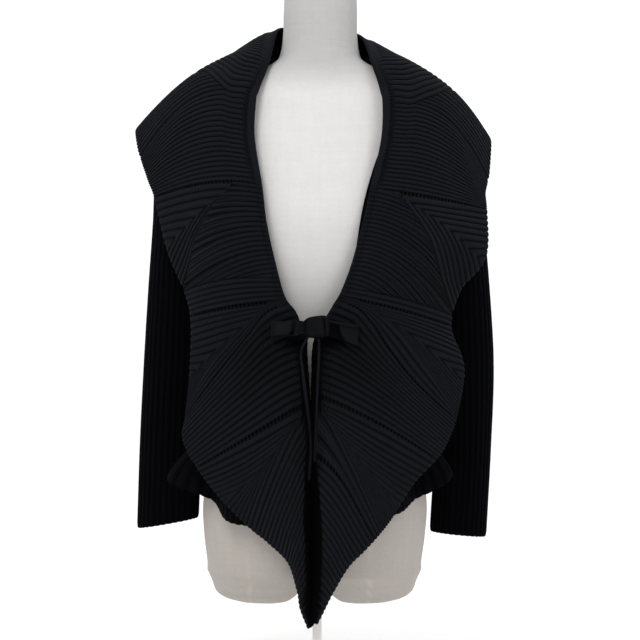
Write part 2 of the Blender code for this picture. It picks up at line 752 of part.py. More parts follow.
def turned(wedge, start, across):
    """Where a rib that leaves the band at start lies further across the collar."""
    share = (start - wedge.first) / (wedge.last - wedge.first)
    end = wedge.foot + (wedge.last - wedge.foot) * share
    pull = max(0.0, (across - FORK) / (1 - FORK)) ** TURN
    return start + (end - start) * pull


class CollarWall(Wall):
    """The collar's ribbed face, whose columns are its ribs' crests and valleys."""

    def __init__(self, side):
        super().__init__()
        self.side = side
        self.neck_rim = []
        self.outer_rim = []

    def vertex(self, along, across, crest):
        out = COLLAR_WALL + (RIB_RISE if crest else 0)
        index = self.add(knit_point(self.side, along, across, out))
        return index, along, across

    def column(self, path, rows, crest, shared=None):
        """Vertices down one rib line; shared is a vertex that it starts from."""
        made = [shared] if shared else []
        for across in rows:
            made.append(self.vertex(path(across), across, crest))
        return made

    def join(self, first, second):
        self.strip([(index, across) for index, _, across in first],
                   [(index, across) for index, _, across in second])

    def gore(self, wedge, line):
        """Short ribs on both sides of a gore's mitre; returns the column at its foot."""
        count = 2 * wedge.short_ribs
        apex = [vertex for vertex in line if abs(vertex[2] - FORK) < 1e-6][0]
        upper = [vertex for vertex in line if vertex[2] >= FORK - 1e-6]
        mitre = [apex]
        ends = []
        for step in range(1, count + 1):
            share = step / count
            along = wedge.first + (wedge.mid - wedge.first) * share
            across = FORK + (1 - FORK) * share
            mitre.append(self.vertex(along, across, step % 2 == 1))
        for step in range(1, count + 1):
            start = mitre[step]
            rows = [row for row in GORE_ROWS if row > start[2] + LEAST_STEP]
            column = self.column(lambda across, along=start[1]: along, rows, step % 2 == 1, start)
            self.join(upper, [mitre[step - 1]] + column)
            upper = column
            self.outer_rim.append(column[-1])
        lower = [mitre[count]]
        for step in range(count - 1, -1, -1):
            start = mitre[step]
            end = wedge.foot + (wedge.mid - wedge.foot) * step / count

            def path(across, start=start, end=end):
                pull = (across - start[2]) / (1 - start[2])
                return start[1] + (end - start[1]) * pull ** TURN

            rows = [row for row in GORE_ROWS if row > start[2] + LEAST_STEP]
            column = self.column(path, rows, step % 2 == 1, start)
            self.join([mitre[step]] + lower, column)
            lower = column
            self.outer_rim.append(column[-1])
        return [vertex for vertex in line if vertex[2] < FORK - 1e-6] + lower

    def wedge(self, wedge, line):
        """All the ribs of one wedge, from its first line to its last, which it returns."""
        if wedge.short_ribs:
            line = self.gore(wedge, line)
        count = 2 * wedge.ribs
        for step in range(1, count + 1):
            start = wedge.first + (wedge.last - wedge.first) * step / count
            column = self.column(lambda across: turned(wedge, start, across), COLLAR_ROWS,
                                 step % 2 == 1)
            self.join(line, column)
            self.neck_rim.append(column[0])
            self.outer_rim.append(column[-1])
            line = column
        return line


def build_collar(side, name):
    """One side's collar, from the centre back to the tip of its tail."""
    wall = CollarWall(side)
    first = wall.column(lambda across: WEDGES[0].first, COLLAR_ROWS, False)
    wall.neck_rim.append(first[0])
    wall.outer_rim.append(first[-1])
    line = first
    for wedge in WEDGES:
        line = wall.wedge(wedge, line)
    places = [np.linspace(wedge.first, wedge.last, wedge.inner_columns, endpoint=False)
              for wedge in WEDGES]
    places = np.concatenate(places + [[WEDGES[-1].last]])
    grid = [knit_point(side, places, row + 0 * places, 0 * places) for row in COLLAR_ROWS]
    inner = wall.sheet([(row, places) for row in grid])
    wall.strip([(index, along) for index, along, _ in wall.neck_rim], inner[0])
    wall.strip([(index, along) for index, along, _ in wall.outer_rim], inner[-1])
    for column, end in ((first, 0), (line, -1)):
        inner_edge = [(row[end][0], place) for row, place in zip(inner, COLLAR_ROWS)]
        wall.strip([(index, across) for index, _, across in column], inner_edge)
    add_object(name, wall.points, wall.faces, "knit")


def build_band(side, name):
    """Smooth tubular band along the collar's neck edge, from the centre back to the bow."""
    fine = np.linspace(0, BAND_END, FINE_SAMPLES)
    edge = collar_point(side, fine, 0 * fine)
    lengths = np.append(0, np.cumsum(np.linalg.norm(np.diff(edge, axis=0), axis=1)))
    columns = np.interp(np.linspace(0, lengths[-1], BAND_COLUMNS), lengths, fine)
    wall = Wall()
    gap = BAND_PLAY * SEAM_GAP
    rows = ((0.0, 0.5), (0.3, 1.0), (0.75, 1.0), (1.0, 0.5), (0.75, 0.0), (0.3, 0.0))
    rings = []
    for along in columns:
        width = band_share(side, along)
        ring = []
        for across, out in rows:
            place = across * width * (1 - gap / BAND_WIDTH)
            point = collar_point(side, along, place)
            point = point + collar_normal(side, along, place) * BAND_WALL * out
            ring.append(wall.add(point))
        rings.append(ring)
    faces = [tuple(rings[0]), tuple(rings[-1])]
    for before, after in zip(rings, rings[1:]):
        for step in range(len(rows)):
            follow = (step + 1) % len(rows)
            faces.append((before[step], before[follow], after[follow], after[step]))
    add_object(name, wall.points, faces, "band")


# ---------------------------------------------------------------- bow and ties
def build_knot():
    """Soft rounded block of wrapped tape."""
    rounded = bmesh.new()
    bmesh.ops.create_icosphere(rounded, subdivisions=2, radius=1.0)
    middle = np.array(BOW_MIDDLE) + (0, KNOT_BACK, 0)
    points = []
    for vertex in rounded.verts:
        away = np.array(vertex.co)
        softened = np.sign(away) * np.abs(away) ** KNOT_ROUNDING
        points.append((middle + softened * np.array(KNOT_SIZE) / 2) * MM)
    rounded.verts.index_update()
    faces = [tuple(vertex.index for vertex in face.verts) for face in rounded.faces]
    rounded.free()
    add_object("bow_knot", points, faces, "tape")


def build_loop(side, name):
    """One loop of the bow: tape that leaves the knot, turns back and returns."""
    loop = LOOPS[side]
    root = np.array(BOW_MIDDLE) + (side * (KNOT_SIZE[0] / 2 + LOOP_START), 0, 0)
    half_height = TAPE_WIDTH / MM / 2 * loop.width_share
    thickness = TAPE_THICKNESS / MM
    turn = math.pi * np.linspace(LOOP_OPEN, 2 - LOOP_OPEN, LOOP_POINTS)
    swell = np.sin(turn / 2)
    outward = loop.reach * (1 - np.cos(turn)) / 2
    sideways = LOOP_DEPTH / 2 * np.sin(turn) * swell ** 0.4
    middles = root + np.stack([side * outward, -sideways, -loop.drop * outward / loop.reach], axis=1)
    tangents = np.gradient(middles, axis=0)
    across = unit(np.stack([tangents[:, 1], -tangents[:, 0], 0 * turn], axis=1))
    half_heights = half_height * (LOOP_PINCH + (1 - LOOP_PINCH) * swell ** 1.5)
    points = []
    faces = []
    rings = []
    for middle, sideway, half in zip(middles, across, half_heights):
        ring = []
        for out, up in ((-0.5, -1), (0.5, -1), (0.5, 0), (0.5, 1), (-0.5, 1), (-0.5, 0)):
            points.append((middle + sideway * out * thickness + (0, 0, up * half)) * MM)
            ring.append(len(points) - 1)
        rings.append(ring)
    for before, after in zip(rings, rings[1:]):
        for step in range(len(before)):
            follow = (step + 1) % len(before)
            faces.append((before[step], before[follow], after[follow], after[step]))
    faces += [tuple(rings[0]), tuple(rings[-1])]
    add_object(name, points, faces, "tape")


def build_tie(side, name):
    """Free end of the tie, a slim soft cord that hangs from the knot."""
    route = np.array(TIES[side], float) * MM
    lengths = np.append(0, np.cumsum(np.linalg.norm(np.diff(route, axis=0), axis=1)))
    samples = np.linspace(0, lengths[-1], TIE_POINTS[side])
    smooth = spline(lengths, route, samples)
    curve = bpy.data.curves.new(name, "CURVE")
    curve.dimensions = "3D"
    curve.bevel_depth = TIE_RADIUS
    curve.bevel_resolution = 2
    curve.use_fill_caps = True
    line = curve.splines.new("POLY")
    line.points.add(len(smooth) - 1)
    for point, place in zip(line.points, smooth):
        point.co = (*place, 1)
    piece = bpy.data.objects.new(name, curve)
    piece.data.materials.append(material("tape"))
    bpy.context.collection.objects.link(piece)


def main():
    for thing in list(bpy.data.objects):
        bpy.data.objects.remove(thing, do_unlink=True)
    build_form()
    build_stand()
    build_body()
    for side, word in ((RIGHT, "right"), (LEFT, "left")):
        build_sleeve(side, "sleeve_" + word)
        build_collar(side, "collar_" + word)
        build_band(side, "neck_band_" + word)
        build_loop(side, "bow_loop_" + word)
        build_tie(side, "tie_end_" + word)
    build_knot()


main()
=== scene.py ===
"""Looks of a black ribbed shawl-collar cardigan on a linen dress form.

Metres, +Z up, the wearer facing -Y, so the wearer's right side is -X.  The tables of the form,
the body, the sleeves, the collar, the bow and the ties are in millimetres, as in the part's
source; the rest of the numbers are lengths in metres, shares or angles as their names say.
"""
import math
from collections import namedtuple
from functools import partial

import bmesh
import bpy
import numpy as np
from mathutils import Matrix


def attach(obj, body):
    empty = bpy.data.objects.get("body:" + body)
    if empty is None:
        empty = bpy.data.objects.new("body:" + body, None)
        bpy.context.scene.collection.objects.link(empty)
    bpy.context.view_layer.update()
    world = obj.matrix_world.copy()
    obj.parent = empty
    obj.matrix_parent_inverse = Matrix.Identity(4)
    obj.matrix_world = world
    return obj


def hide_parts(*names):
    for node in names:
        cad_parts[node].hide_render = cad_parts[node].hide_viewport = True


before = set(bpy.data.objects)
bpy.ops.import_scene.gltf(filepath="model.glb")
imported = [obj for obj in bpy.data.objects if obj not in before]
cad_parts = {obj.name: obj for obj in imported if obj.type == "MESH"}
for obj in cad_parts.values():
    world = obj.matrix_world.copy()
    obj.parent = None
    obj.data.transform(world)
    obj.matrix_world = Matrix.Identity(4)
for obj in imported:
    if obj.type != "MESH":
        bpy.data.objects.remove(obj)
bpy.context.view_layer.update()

scene = bpy.context.scene
MM = 0.001
RIGHT, LEFT = -1, 1
SIDES = ((RIGHT, "right"), (LEFT, "left"))

# ---------------------------------------------------------------- camera
CAMERA_DISTANCE = 2.5
CAMERA_AIM = (0.0045, 0.54)           # X and height of the picture's middle
PICTURE_WIDTH = 0.96                  # width seen at the form's middle plane
SENSOR = 36.0


def build_camera():
    """Level camera in front of the form, as far off as the photograph's was."""
    lens = bpy.data.cameras.new("camera")
    lens.sensor_width = SENSOR
    lens.lens = SENSOR * CAMERA_DISTANCE / PICTURE_WIDTH
    camera = bpy.data.objects.new("camera", lens)
    camera.location = (CAMERA_AIM[0], -CAMERA_DISTANCE, CAMERA_AIM[1])
    camera.rotation_euler = (math.radians(90), 0, 0)
    scene.collection.objects.link(camera)
    scene.camera = camera


build_camera()


# ---------------------------------------------------------------- curves
def spline(knots, values, at):
    """Smooth curve through a table's rows."""
    knots = np.asarray(knots, float)
    values = np.asarray(values, float)
    at = np.clip(np.asarray(at, float), knots[0], knots[-1])
    slopes = np.gradient(values, knots, axis=0)
    row = np.clip(np.searchsorted(knots, at, side="right") - 1, 0, len(knots) - 2)
    span = knots[row + 1] - knots[row]
    share = (at - knots[row]) / span
    more = (1,) * (values.ndim - 1)
    span = span.reshape(*span.shape, *more)
    share = share.reshape(*share.shape, *more)
    start = (2 * share ** 3 - 3 * share ** 2 + 1) * values[row]
    end = (3 * share ** 2 - 2 * share ** 3) * values[row + 1]
    leave = (share ** 3 - 2 * share ** 2 + share) * span * slopes[row]
    arrive = (share ** 3 - share ** 2) * span * slopes[row + 1]
    return start + leave + end + arrive


def unit(vectors):
    """Vectors of length one."""
    return vectors / np.maximum(np.linalg.norm(vectors, axis=-1, keepdims=True), 1e-12)


def smoothstep(value):
    """Soft ramp from 0 to 1."""
    value = np.clip(value, 0, 1)
    return value * value * (3 - 2 * value)


def bell(offset, breadth, power=2):
    """1 in the middle of a stretch, falling to 0 beyond its breadth."""
    return np.exp(-np.abs(offset / breadth) ** power)


def rounded(to_edge, radius, least):
    """How full a rounded edge is at a distance from it, from least up to 1."""
    return np.sqrt(np.clip(1 - (1 - np.clip(to_edge / radius, 0, 1)) ** 2, least, 1))


def lengths_along(points):
    """Distance along a line of points, from its first."""
    steps = np.linalg.norm(np.diff(points, axis=0), axis=1)
    return np.append(0, np.cumsum(steps))


# ---------------------------------------------------------------- materials
NOISE_DETAIL = 4.0


class Nodes:
    """Short calls for building the nodes of a material or of the world."""

    def __init__(self, owner, main="Principled BSDF"):
        owner.use_nodes = True
        self.owner = owner
        self.tree = owner.node_tree
        self.main = self.tree.nodes[main]

    def make(self, kind, **settings):
        node = self.tree.nodes.new(kind)
        for key, value in settings.items():
            setattr(node, key, value)
        return node

    def link(self, source, target):
        self.tree.links.new(source, target)

    def feed(self, socket, value):
        """Links a socket, or sets its number."""
        if isinstance(value, bpy.types.NodeSocket):
            self.link(value, socket)
        else:
            socket.default_value = value

    def shade(self, **inputs):
        """Sets or links the main node's sockets, named with _ for a space."""
        for name, value in inputs.items():
            self.feed(self.main.inputs[name.replace("_", " ")], value)

    def math(self, operation, first, second=0.0, third=0.0):
        node = self.make("ShaderNodeMath", operation=operation)
        for socket, value in zip(node.inputs, (first, second, third)):
            self.feed(socket, value)
        return node.outputs[0]

    def attribute(self, name, output="Fac"):
        return self.make("ShaderNodeAttribute", attribute_name=name).outputs[output]

    def places(self):
        """The point's place on the object, in metres."""
        return self.make("ShaderNodeTexCoord").outputs["Object"]

    def noise(self, scale, vector=None, detail=NOISE_DETAIL, stretch=None):
        """Noise from 0 to 1; stretch scales its axes one by one."""
        vector = vector or self.places()
        if stretch:
            mapping = self.make("ShaderNodeMapping")
            self.link(vector, mapping.inputs["Vector"])
            mapping.inputs["Scale"].default_value = stretch
            vector = mapping.outputs[0]
        node = self.make("ShaderNodeTexNoise")
        self.link(vector, node.inputs["Vector"])
        node.inputs["Scale"].default_value = scale
        node.inputs["Detail"].default_value = detail
        return node.outputs["Fac"]

    def between(self, share, low, high):
        """A number that runs from low to high as share runs from 0 to 1."""
        return self.math("MULTIPLY_ADD", share, high - low, low)

    def mix(self, share, first, second):
        """Colour between two others."""
        node = self.make("ShaderNodeMix", data_type="RGBA")
        self.feed(node.inputs["Factor"], share)
        for socket, value in zip((node.inputs[6], node.inputs[7]), (first, second)):
            self.feed(socket, value if isinstance(value, bpy.types.NodeSocket) else (*value, 1))
        return node.outputs[2]

    def bump(self, height, distance, strength=1.0, under=None):
        node = self.make("ShaderNodeBump")
        self.feed(node.inputs["Strength"], strength)
        self.feed(node.inputs["Distance"], distance)
        self.link(height, node.inputs["Height"])
        if under:
            self.link(under, node.inputs["Normal"])
        return node.outputs[0]


STITCH_LENGTH = 2.3 * MM
STITCH_SLANT = 0.55
STITCH_BUMP = 0.45 * MM
FIBRE_BUMP = 0.16 * MM
ROUGH_KNIT = (0.82, 0.97)
PAINTED_SHADE_BLACK = (0.0002, 0.0002, 0.0003)   # painted shade: black mixed into folds, hollows and gaps that no light reaches


def knit_material(name, valley, crest, fuzz, sheen=0.035, wales=2.0):
    """Ribbed knit: the stitches' small V shapes over each rib, fibres, and painted shade.

    It reads two values at each point: rib, which holds how many ribs lie before the point, how
    far along its rib it is and how much painted shade turns it black (in the deep fold and under
    the bow), and crest, a share of painted light that is 0 in a valley or a hole and 1 on a rib,
    so that the valleys, holes and inner faces are painted darker as shade.
    """
    nodes = Nodes(bpy.data.materials.new(name))
    split = nodes.make("ShaderNodeSeparateXYZ")
    nodes.link(nodes.attribute("rib", "Vector"), split.inputs[0])
    wale = nodes.math("MULTIPLY", split.outputs["X"], wales)
    arm = nodes.math("PINGPONG", wale, 0.5)
    arm_height = nodes.math("SINE", nodes.math("MULTIPLY", arm, math.tau))
    along = nodes.math("MULTIPLY", split.outputs["Y"], 1 / STITCH_LENGTH)
    slanted = nodes.math("ADD", along, nodes.math("MULTIPLY", arm, 2 * STITCH_SLANT))
    loop = nodes.math("ABSOLUTE", nodes.math("SINE", nodes.math("MULTIPLY", slanted, math.pi)))
    stitch = nodes.math("MULTIPLY", nodes.math("POWER", loop, 0.6),
                        nodes.math("ADD", nodes.math("ABSOLUTE", arm_height), 0.35))
    fibre = nodes.noise(2600, detail=2.0)
    patch = nodes.noise(26, detail=3.0)
    # painted light: crest lightens the rib tops and darkens the valleys; shade mixes in painted
    # black and takes away the sheen
    crest_share = nodes.math("POWER", nodes.attribute("crest"), 1.3)
    lit = nodes.mix(nodes.between(patch, 0.0, 0.5), crest, fuzz)
    shade = split.outputs["Z"]
    colour = nodes.mix(shade, nodes.mix(crest_share, valley, lit), PAINTED_SHADE_BLACK)
    thread = nodes.math("MULTIPLY", stitch, nodes.between(fibre, 0.45, 0.95))
    dark = tuple(channel * 0.45 for channel in valley)
    nodes.shade(Base_Color=nodes.mix(nodes.between(thread, 0.25, 1.0), dark, colour),
                Roughness=nodes.between(fibre, *ROUGH_KNIT))
    loops = nodes.bump(stitch, STITCH_BUMP, 0.8)
    nodes.shade(Normal=nodes.bump(fibre, FIBRE_BUMP, 0.5, loops),
                Sheen_Weight=nodes.between(shade, sheen, 0.0), Sheen_Roughness=0.45,
                Sheen_Tint=(0.62, 0.66, 0.78, 1), Specular_IOR_Level=0.03)
    return nodes.owner


def tape_material(name):
    """Soft flat tape: fine crosswise grain with a faint sheen, darkened by the painted light that
    its crest value holds.
    """
    nodes = Nodes(bpy.data.materials.new(name))
    grain = nodes.noise(900, stretch=(0.35, 1, 1.6), detail=2.0)
    patch = nodes.noise(60, detail=2.0)
    tape = nodes.mix(nodes.between(grain, 0.2, 0.9), (0.0024, 0.0025, 0.0031),
                     (0.0084, 0.0088, 0.0108))
    nodes.shade(Base_Color=nodes.mix(nodes.attribute("crest"), PAINTED_SHADE_BLACK, tape),
                Roughness=nodes.between(patch, 0.65, 0.85),
                Normal=nodes.bump(grain, 0.25 * MM, 0.5),
                Sheen_Weight=0.012, Sheen_Roughness=0.35, Specular_IOR_Level=0.03)
    return nodes.owner


def linen_material(name):
    """Pale plain-weave linen with slubs, darker stitching in the seams and a darker neck.

    Lower down, painted shade darkens and warms it.
    """
    nodes = Nodes(bpy.data.materials.new(name))
    warp = nodes.noise(950, stretch=(1, 1, 0.09), detail=2.0)
    weft = nodes.noise(950, stretch=(0.09, 0.09, 1), detail=2.0)
    slub = nodes.noise(150, stretch=(0.12, 0.12, 1), detail=3.0)
    drop = nodes.noise(130, stretch=(1, 1, 0.08), detail=3.0)
    weave = nodes.math("ADD", nodes.math("ADD", warp, weft),
                       nodes.math("MULTIPLY", nodes.math("ADD", slub, drop), 0.8))
    shade = nodes.math("MULTIPLY", weave, 0.28)
    cloth = nodes.mix(shade, (0.45, 0.445, 0.44), (0.65, 0.645, 0.64))
    # painted shade: lower on the form the linen is mixed towards this darker, warmer colour
    painted_shade = nodes.mix(shade, (0.30, 0.275, 0.245), (0.43, 0.40, 0.37))
    cloth = nodes.mix(nodes.attribute("painted_light"), painted_shade, cloth)
    neck = nodes.mix(shade, (0.31, 0.307, 0.305), (0.45, 0.445, 0.442))
    cloth = nodes.mix(nodes.attribute("neck"), cloth, neck)
    seam = nodes.attribute("seam")
    stitched = nodes.math("MULTIPLY", seam, 0.55)
    nodes.shade(Base_Color=nodes.mix(stitched, cloth, (0.50, 0.46, 0.41)),
                Roughness=nodes.between(slub, 0.82, 0.96),
                Normal=nodes.bump(weave, 0.35 * MM, 0.5),
                Sheen_Weight=0.08, Specular_IOR_Level=0.2)
    return nodes.owner


def stand_material(name):
    """Powder-coated metal, pale, with a fine orange-peel skin."""
    nodes = Nodes(bpy.data.materials.new(name))
    peel = nodes.noise(1500, detail=2.0)
    patch = nodes.noise(18, detail=2.0)
    nodes.shade(Base_Color=nodes.mix(patch, (0.74, 0.73, 0.71), (0.82, 0.81, 0.79)),
                Roughness=nodes.between(patch, 0.34, 0.46),
                Normal=nodes.bump(peel, 0.05 * MM, 0.4))
    return nodes.owner


COLLAR_KNIT = knit_material("collar knit", (0.0011, 0.0012, 0.0017), (0.0099, 0.0104, 0.0133),
                            (0.0131, 0.0137, 0.0174))
BODY_KNIT = knit_material("body knit", (0.0005, 0.0005, 0.0008), (0.0028, 0.0029, 0.0040),
                          (0.0038, 0.0039, 0.0054), sheen=0.008)
SLEEVE_KNIT = knit_material("sleeve knit", (0.0004, 0.0004, 0.0007), (0.0015, 0.0016, 0.0027),
                            (0.0021, 0.0022, 0.0036), sheen=0.005)
BAND_KNIT = knit_material("band knit", (0.0012, 0.0012, 0.0017), (0.0092, 0.0096, 0.0122),
                          (0.0108, 0.0112, 0.0143), wales=1.0)
TAPE = tape_material("tape")
LINEN = linen_material("linen")
STAND = stand_material("stand coat")


# ---------------------------------------------------------------- meshes
class Shell:
    """Points and faces of one piece, with the values that its material reads."""

    def __init__(self):
        self.points = []
        self.ribs = []
        self.crests = []
        self.count = 0
        self.faces = []

    def add(self, points, ribs=None, crests=None):
        """Adds a block of points and returns their numbers in the same layout."""
        points = np.asarray(points, float)
        shape = points.shape[:-1]
        total = int(np.prod(shape))
        self.points.append(points.reshape(total, 3))
        ribs = np.zeros((*shape, 3)) if ribs is None else ribs
        self.ribs.append(np.broadcast_to(ribs, (*shape, 3)).reshape(total, 3))
        crests = np.ones(shape) if crests is None else crests
        self.crests.append(np.broadcast_to(crests, shape).reshape(total))
        numbers = np.arange(self.count, self.count + total).reshape(shape)
        self.count += total
        return numbers

    def quads(self, numbers, closed=False):
        """Faces over a grid of points, whose columns may close on themselves."""
        if closed:
            numbers = np.concatenate([numbers, numbers[:, :1]], axis=1)
        corners = np.stack([numbers[:-1, :-1], numbers[:-1, 1:], numbers[1:, 1:],
                            numbers[1:, :-1]], axis=-1)
        self.faces += corners.reshape(-1, 4).tolist()

    def tube(self, points, ribs=None, crests=None):
        """Adds closed rings of points, with a face over each end."""
        rings = self.add(points, ribs, crests)
        self.quads(rings, closed=True)
        self.faces += [rings[0].tolist(), rings[-1].tolist()]

    def zip(self, first, first_places, second, second_places):
        """Triangles between two lines of points, walked together by their places."""
        i = j = 0
        last_i, last_j = len(first) - 1, len(second) - 1
        while i < last_i or j < last_j:
            step_first = j == last_j or (i < last_i and first_places[i + 1] <= second_places[j + 1])
            if step_first:
                face = (first[i], first[i + 1], second[j])
                i += 1
            else:
                face = (first[i], second[j + 1], second[j])
                j += 1
            if len(set(face)) == 3:
                self.faces.append(face)

    def close(self, ring, tip, flip=False):
        """Triangles from a closed ring of points to one point."""
        tip = self.add(tip[None])[0]
        for first, second in zip(ring, np.roll(ring, -1)):
            self.faces.append((tip, second, first) if flip else (tip, first, second))

    def build(self, name, material, slot, node, crease=60):
        """The piece, with its faces turned outward, in place of one of the frame's nodes."""
        points = np.concatenate(self.points)
        mesh = bpy.data.meshes.new(name)
        mesh.from_pydata(points.tolist(), [], self.faces)
        rib = mesh.attributes.new("rib", "FLOAT_VECTOR", "POINT")
        rib.data.foreach_set("vector", np.concatenate(self.ribs).ravel())
        crest = mesh.attributes.new("crest", "FLOAT", "POINT")
        crest.data.foreach_set("value", np.concatenate(self.crests))
        shaped = bmesh.new()
        shaped.from_mesh(mesh)
        loose = [vertex for vertex in shaped.verts if not vertex.link_faces]
        bmesh.ops.delete(shaped, geom=loose, context="VERTS")
        bmesh.ops.recalc_face_normals(shaped, faces=shaped.faces)
        if shaped.calc_volume(signed=True) < 0:
            bmesh.ops.reverse_faces(shaped, faces=shaped.faces)
        shaped.to_mesh(mesh)
        shaped.free()
        mesh.shade_smooth()
        mesh.set_sharp_from_angle(angle=math.radians(crease))
        mesh.materials.append(material)
        piece = bpy.data.objects.new(name, mesh)
        scene.collection.objects.link(piece)
        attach(piece, "root")
        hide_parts(node)
        return piece


def rib_values(phase, along, shade=0.0):
    """What the knit reads at each point: ribs before it, place along its rib, fold's depth."""
    return np.stack(np.broadcast_arrays(phase, along, shade), axis=-1)


def rib_profile(phase, sharpness=0.6):
    """Height of a rib across its width, 0 in the valleys and 1 on the crest."""
    return np.abs(np.sin(math.pi * phase)) ** sharpness


# ---------------------------------------------------------------- ties
TIES = {
    RIGHT: ((-12, -148, 515.8), (-17, -150.5, 508.5), (-21.5, -153, 498), (-20, -155, 470),
            (-15, -157, 430), (-10, -158, 390), (-8.5, -158, 360), (-10, -157, 330),
            (-11, -156, 314)),
    LEFT: ((2, -148, 514.7), (3, -150.5, 508), (3, -153, 496), (1.5, -155, 460), (0, -157, 420),
           (-1, -158, 385), (-2.5, -157, 355), (-3.5, -156, 340)),
}
TIE_RADIUS = 2.4 * MM
TIE_THIN = 0.72                # the tie's thickness as a share of its width
TIE_TURNS = 16
TIE_STEP = 1.6 * MM
TIE_TWIST = 2.2                # radians that the flat cord turns over its length


def build_tie(side, word):
    """Free end of the tie: a slim flat cord with a plain bound end."""
    route = np.array(TIES[side], float) * MM
    knots = lengths_along(route)
    length = knots[-1]
    count = int(length / TIE_STEP)
    path = spline(knots, route, np.linspace(0, length, count))
    tangents = unit(np.gradient(path, axis=0))
    across = unit(np.cross(tangents, (0.0, 1.0, 0.0)))
    facing = np.cross(across, tangents)
    along = lengths_along(path)
    turn = math.tau * np.arange(TIE_TURNS) / TIE_TURNS
    twist = TIE_TWIST * np.sin(along / along[-1] * math.pi * 0.8 + side)
    close = rounded(np.minimum(along[-1] - along, along), 1.3 * TIE_RADIUS, 0.05)
    binding = 1 + 0.10 * bell(along[-1] - along - 4 * MM, 1.6 * MM)
    plait = 1 + 0.045 * np.sin(along / (2.6 * MM) * math.tau)
    size = (TIE_RADIUS * close * binding * plait)[:, None]
    wide = np.cos(turn) * size
    thin = np.sin(turn) * size * TIE_THIN
    side_way = np.cos(twist)[:, None] * wide - np.sin(twist)[:, None] * thin
    front_way = np.sin(twist)[:, None] * wide + np.cos(twist)[:, None] * thin
    points = path[:, None] + across[:, None] * side_way[..., None] \
        + facing[:, None] * front_way[..., None]
    dim = 0.9 - 0.35 * smoothstep((along - 60 * MM) / (80 * MM))
    shell = Shell()
    shell.tube(points, rib_values(turn / math.pi, along[:, None]), dim[:, None])
    name = "tie_end_" + word
    piece = shell.build(name + "_cord", TAPE, "tape", name)


for tie_side, tie_word in SIDES:
    build_tie(tie_side, tie_word)

# ---------------------------------------------------------------- dress form
FORM = np.array((
    # height, half width, front depth, back depth
    (180, 160, 98, 96),
    (220, 165, 106, 106),
    (270, 167, 111, 112),
    (320, 157, 110, 108),
    (380, 137, 102, 94),
    (440, 119, 90, 78),
    (480, 117, 88, 74),
    (560, 127, 99, 78),
    (640, 144, 120, 88),
    (690, 150, 127, 94),
    (740, 157, 120, 99),
    (800, 172, 105, 100),
    (845, 183, 92, 95),
    (868, 180, 86, 90),
    (884, 163, 80, 84),
    (898, 132, 75, 78),
    (911, 100, 69, 70),
    (920, 76, 64, 64),
    (928, 64, 60, 58),
    (940, 59, 57, 53),
    (960, 56, 56, 50),
    (1000, 55, 56, 48),
    (1030, 54, 55, 47),
), float) * MM
FORM_SQUARENESS = 2.35
FORM_LEAN = 0.011
LEAN_PIVOT = 540 * MM
CROTCH_HEIGHT = 168 * MM
SADDLE_RISE = 8 * MM
SADDLE_POINTS = 23
NECK_CAP = ((0.985, 2.2), (0.95, 3.4), (0.88, 4.2), (0.6, 5.2), (0.3, 5.8))   # size and rise
NECK_CAP_CROWN = 6 * MM
STUBS = np.array((
    # height, distance of the stub's middle from the form's, size as a share of the crotch loop
    (168, 80, 1.0),
    (152, 84, 0.86),
    (137, 88, 0.74),
    (127, 88, 0.58),
    (120, 87, 0.32),
), float)
STUB_BOTTOM = 118.5 * MM
FORM_HALF_TURN = 72            # points round each side of the form
FORM_STEP = 5                  # millimetres between rows of points
FINE_FORM_STEP = 1.2           # the same round the neck seam
FINE_FORM_ROWS = (885, 925)
LAST_FORM_ROW = 184
SEAM_WIDTH = 1.5 * MM
BACK_SEAM_X = 2 * MM
PRINCESS_SEAMS_X = (-97 * MM, 76 * MM)
PAINTED_LIGHT_HEIGHTS = np.array(((0.10, 0.0), (0.35, 0.12), (0.52, 0.62), (0.62, 0.85), (0.72, 1.0),
                  (1.04, 1.0)))         # painted light at a height: 1 keeps the cover's colour, lower values paint it darker and warmer as shade
NECK_FADE = 30 * MM
NECK_SEAM_FRONT = 893 * MM
NECK_SEAM_BACK = 918 * MM


def form_section(height):
    """Half width, front depth and back depth of the form at a height."""
    sizes = spline(FORM[:, 0], FORM[:, 1:], height)
    return sizes[..., 0], sizes[..., 1], sizes[..., 2]


def form_point(side, place, height):
    """Point of the form: place is 0 at the side, 90 in front and -90 behind, in degrees."""
    half_width, front, back = form_section(height)
    angle = np.radians(place)
    power = 2 / FORM_SQUARENESS
    across = np.abs(np.cos(angle)) ** power
    along = np.abs(np.sin(angle)) ** power
    depth = np.where(angle >= 0, -front, back)
    lean = FORM_LEAN * (height - LEAN_PIVOT)
    return np.stack([side * half_width * across + lean, depth * along,
                     height + 0 * across], axis=-1)


def form_normal(side, place, height):
    """Outward direction of the form's surface."""
    turn = 1.5
    rise = 4 * MM
    round_it = form_point(side, place + turn, height) - form_point(side, place - turn, height)
    up_it = form_point(side, place, height + rise) - form_point(side, place, height - rise)
    return unit(side * np.cross(up_it, round_it))


def seam_share(points):
    """1 in the middle of a seam of the form's cover, 0 away from it."""
    widest = spline(FORM[:, 0], FORM[:, 1], points[..., 2])
    spread = 0.62 + 0.38 * widest / 0.157
    from_middle = points[..., 0] - BACK_SEAM_X
    near = np.where(points[..., 1] > 0, np.abs(from_middle), np.inf)
    for x in PRINCESS_SEAMS_X:
        near = np.minimum(near, np.abs(from_middle - (x - BACK_SEAM_X) * spread))
    below_neck = points[..., 2] < neck_seam_height(points) - 1 * MM
    vertical = np.where(below_neck, bell(near, SEAM_WIDTH), 0)
    return np.maximum(vertical, bell(points[..., 2] - neck_seam_height(points), SEAM_WIDTH))


def neck_seam_height(points):
    """Height of the seam round the base of the neck, lowest in front."""
    front = smoothstep((0.06 - points[..., 1]) / 0.12)
    return NECK_SEAM_BACK + (NECK_SEAM_FRONT - NECK_SEAM_BACK) * front


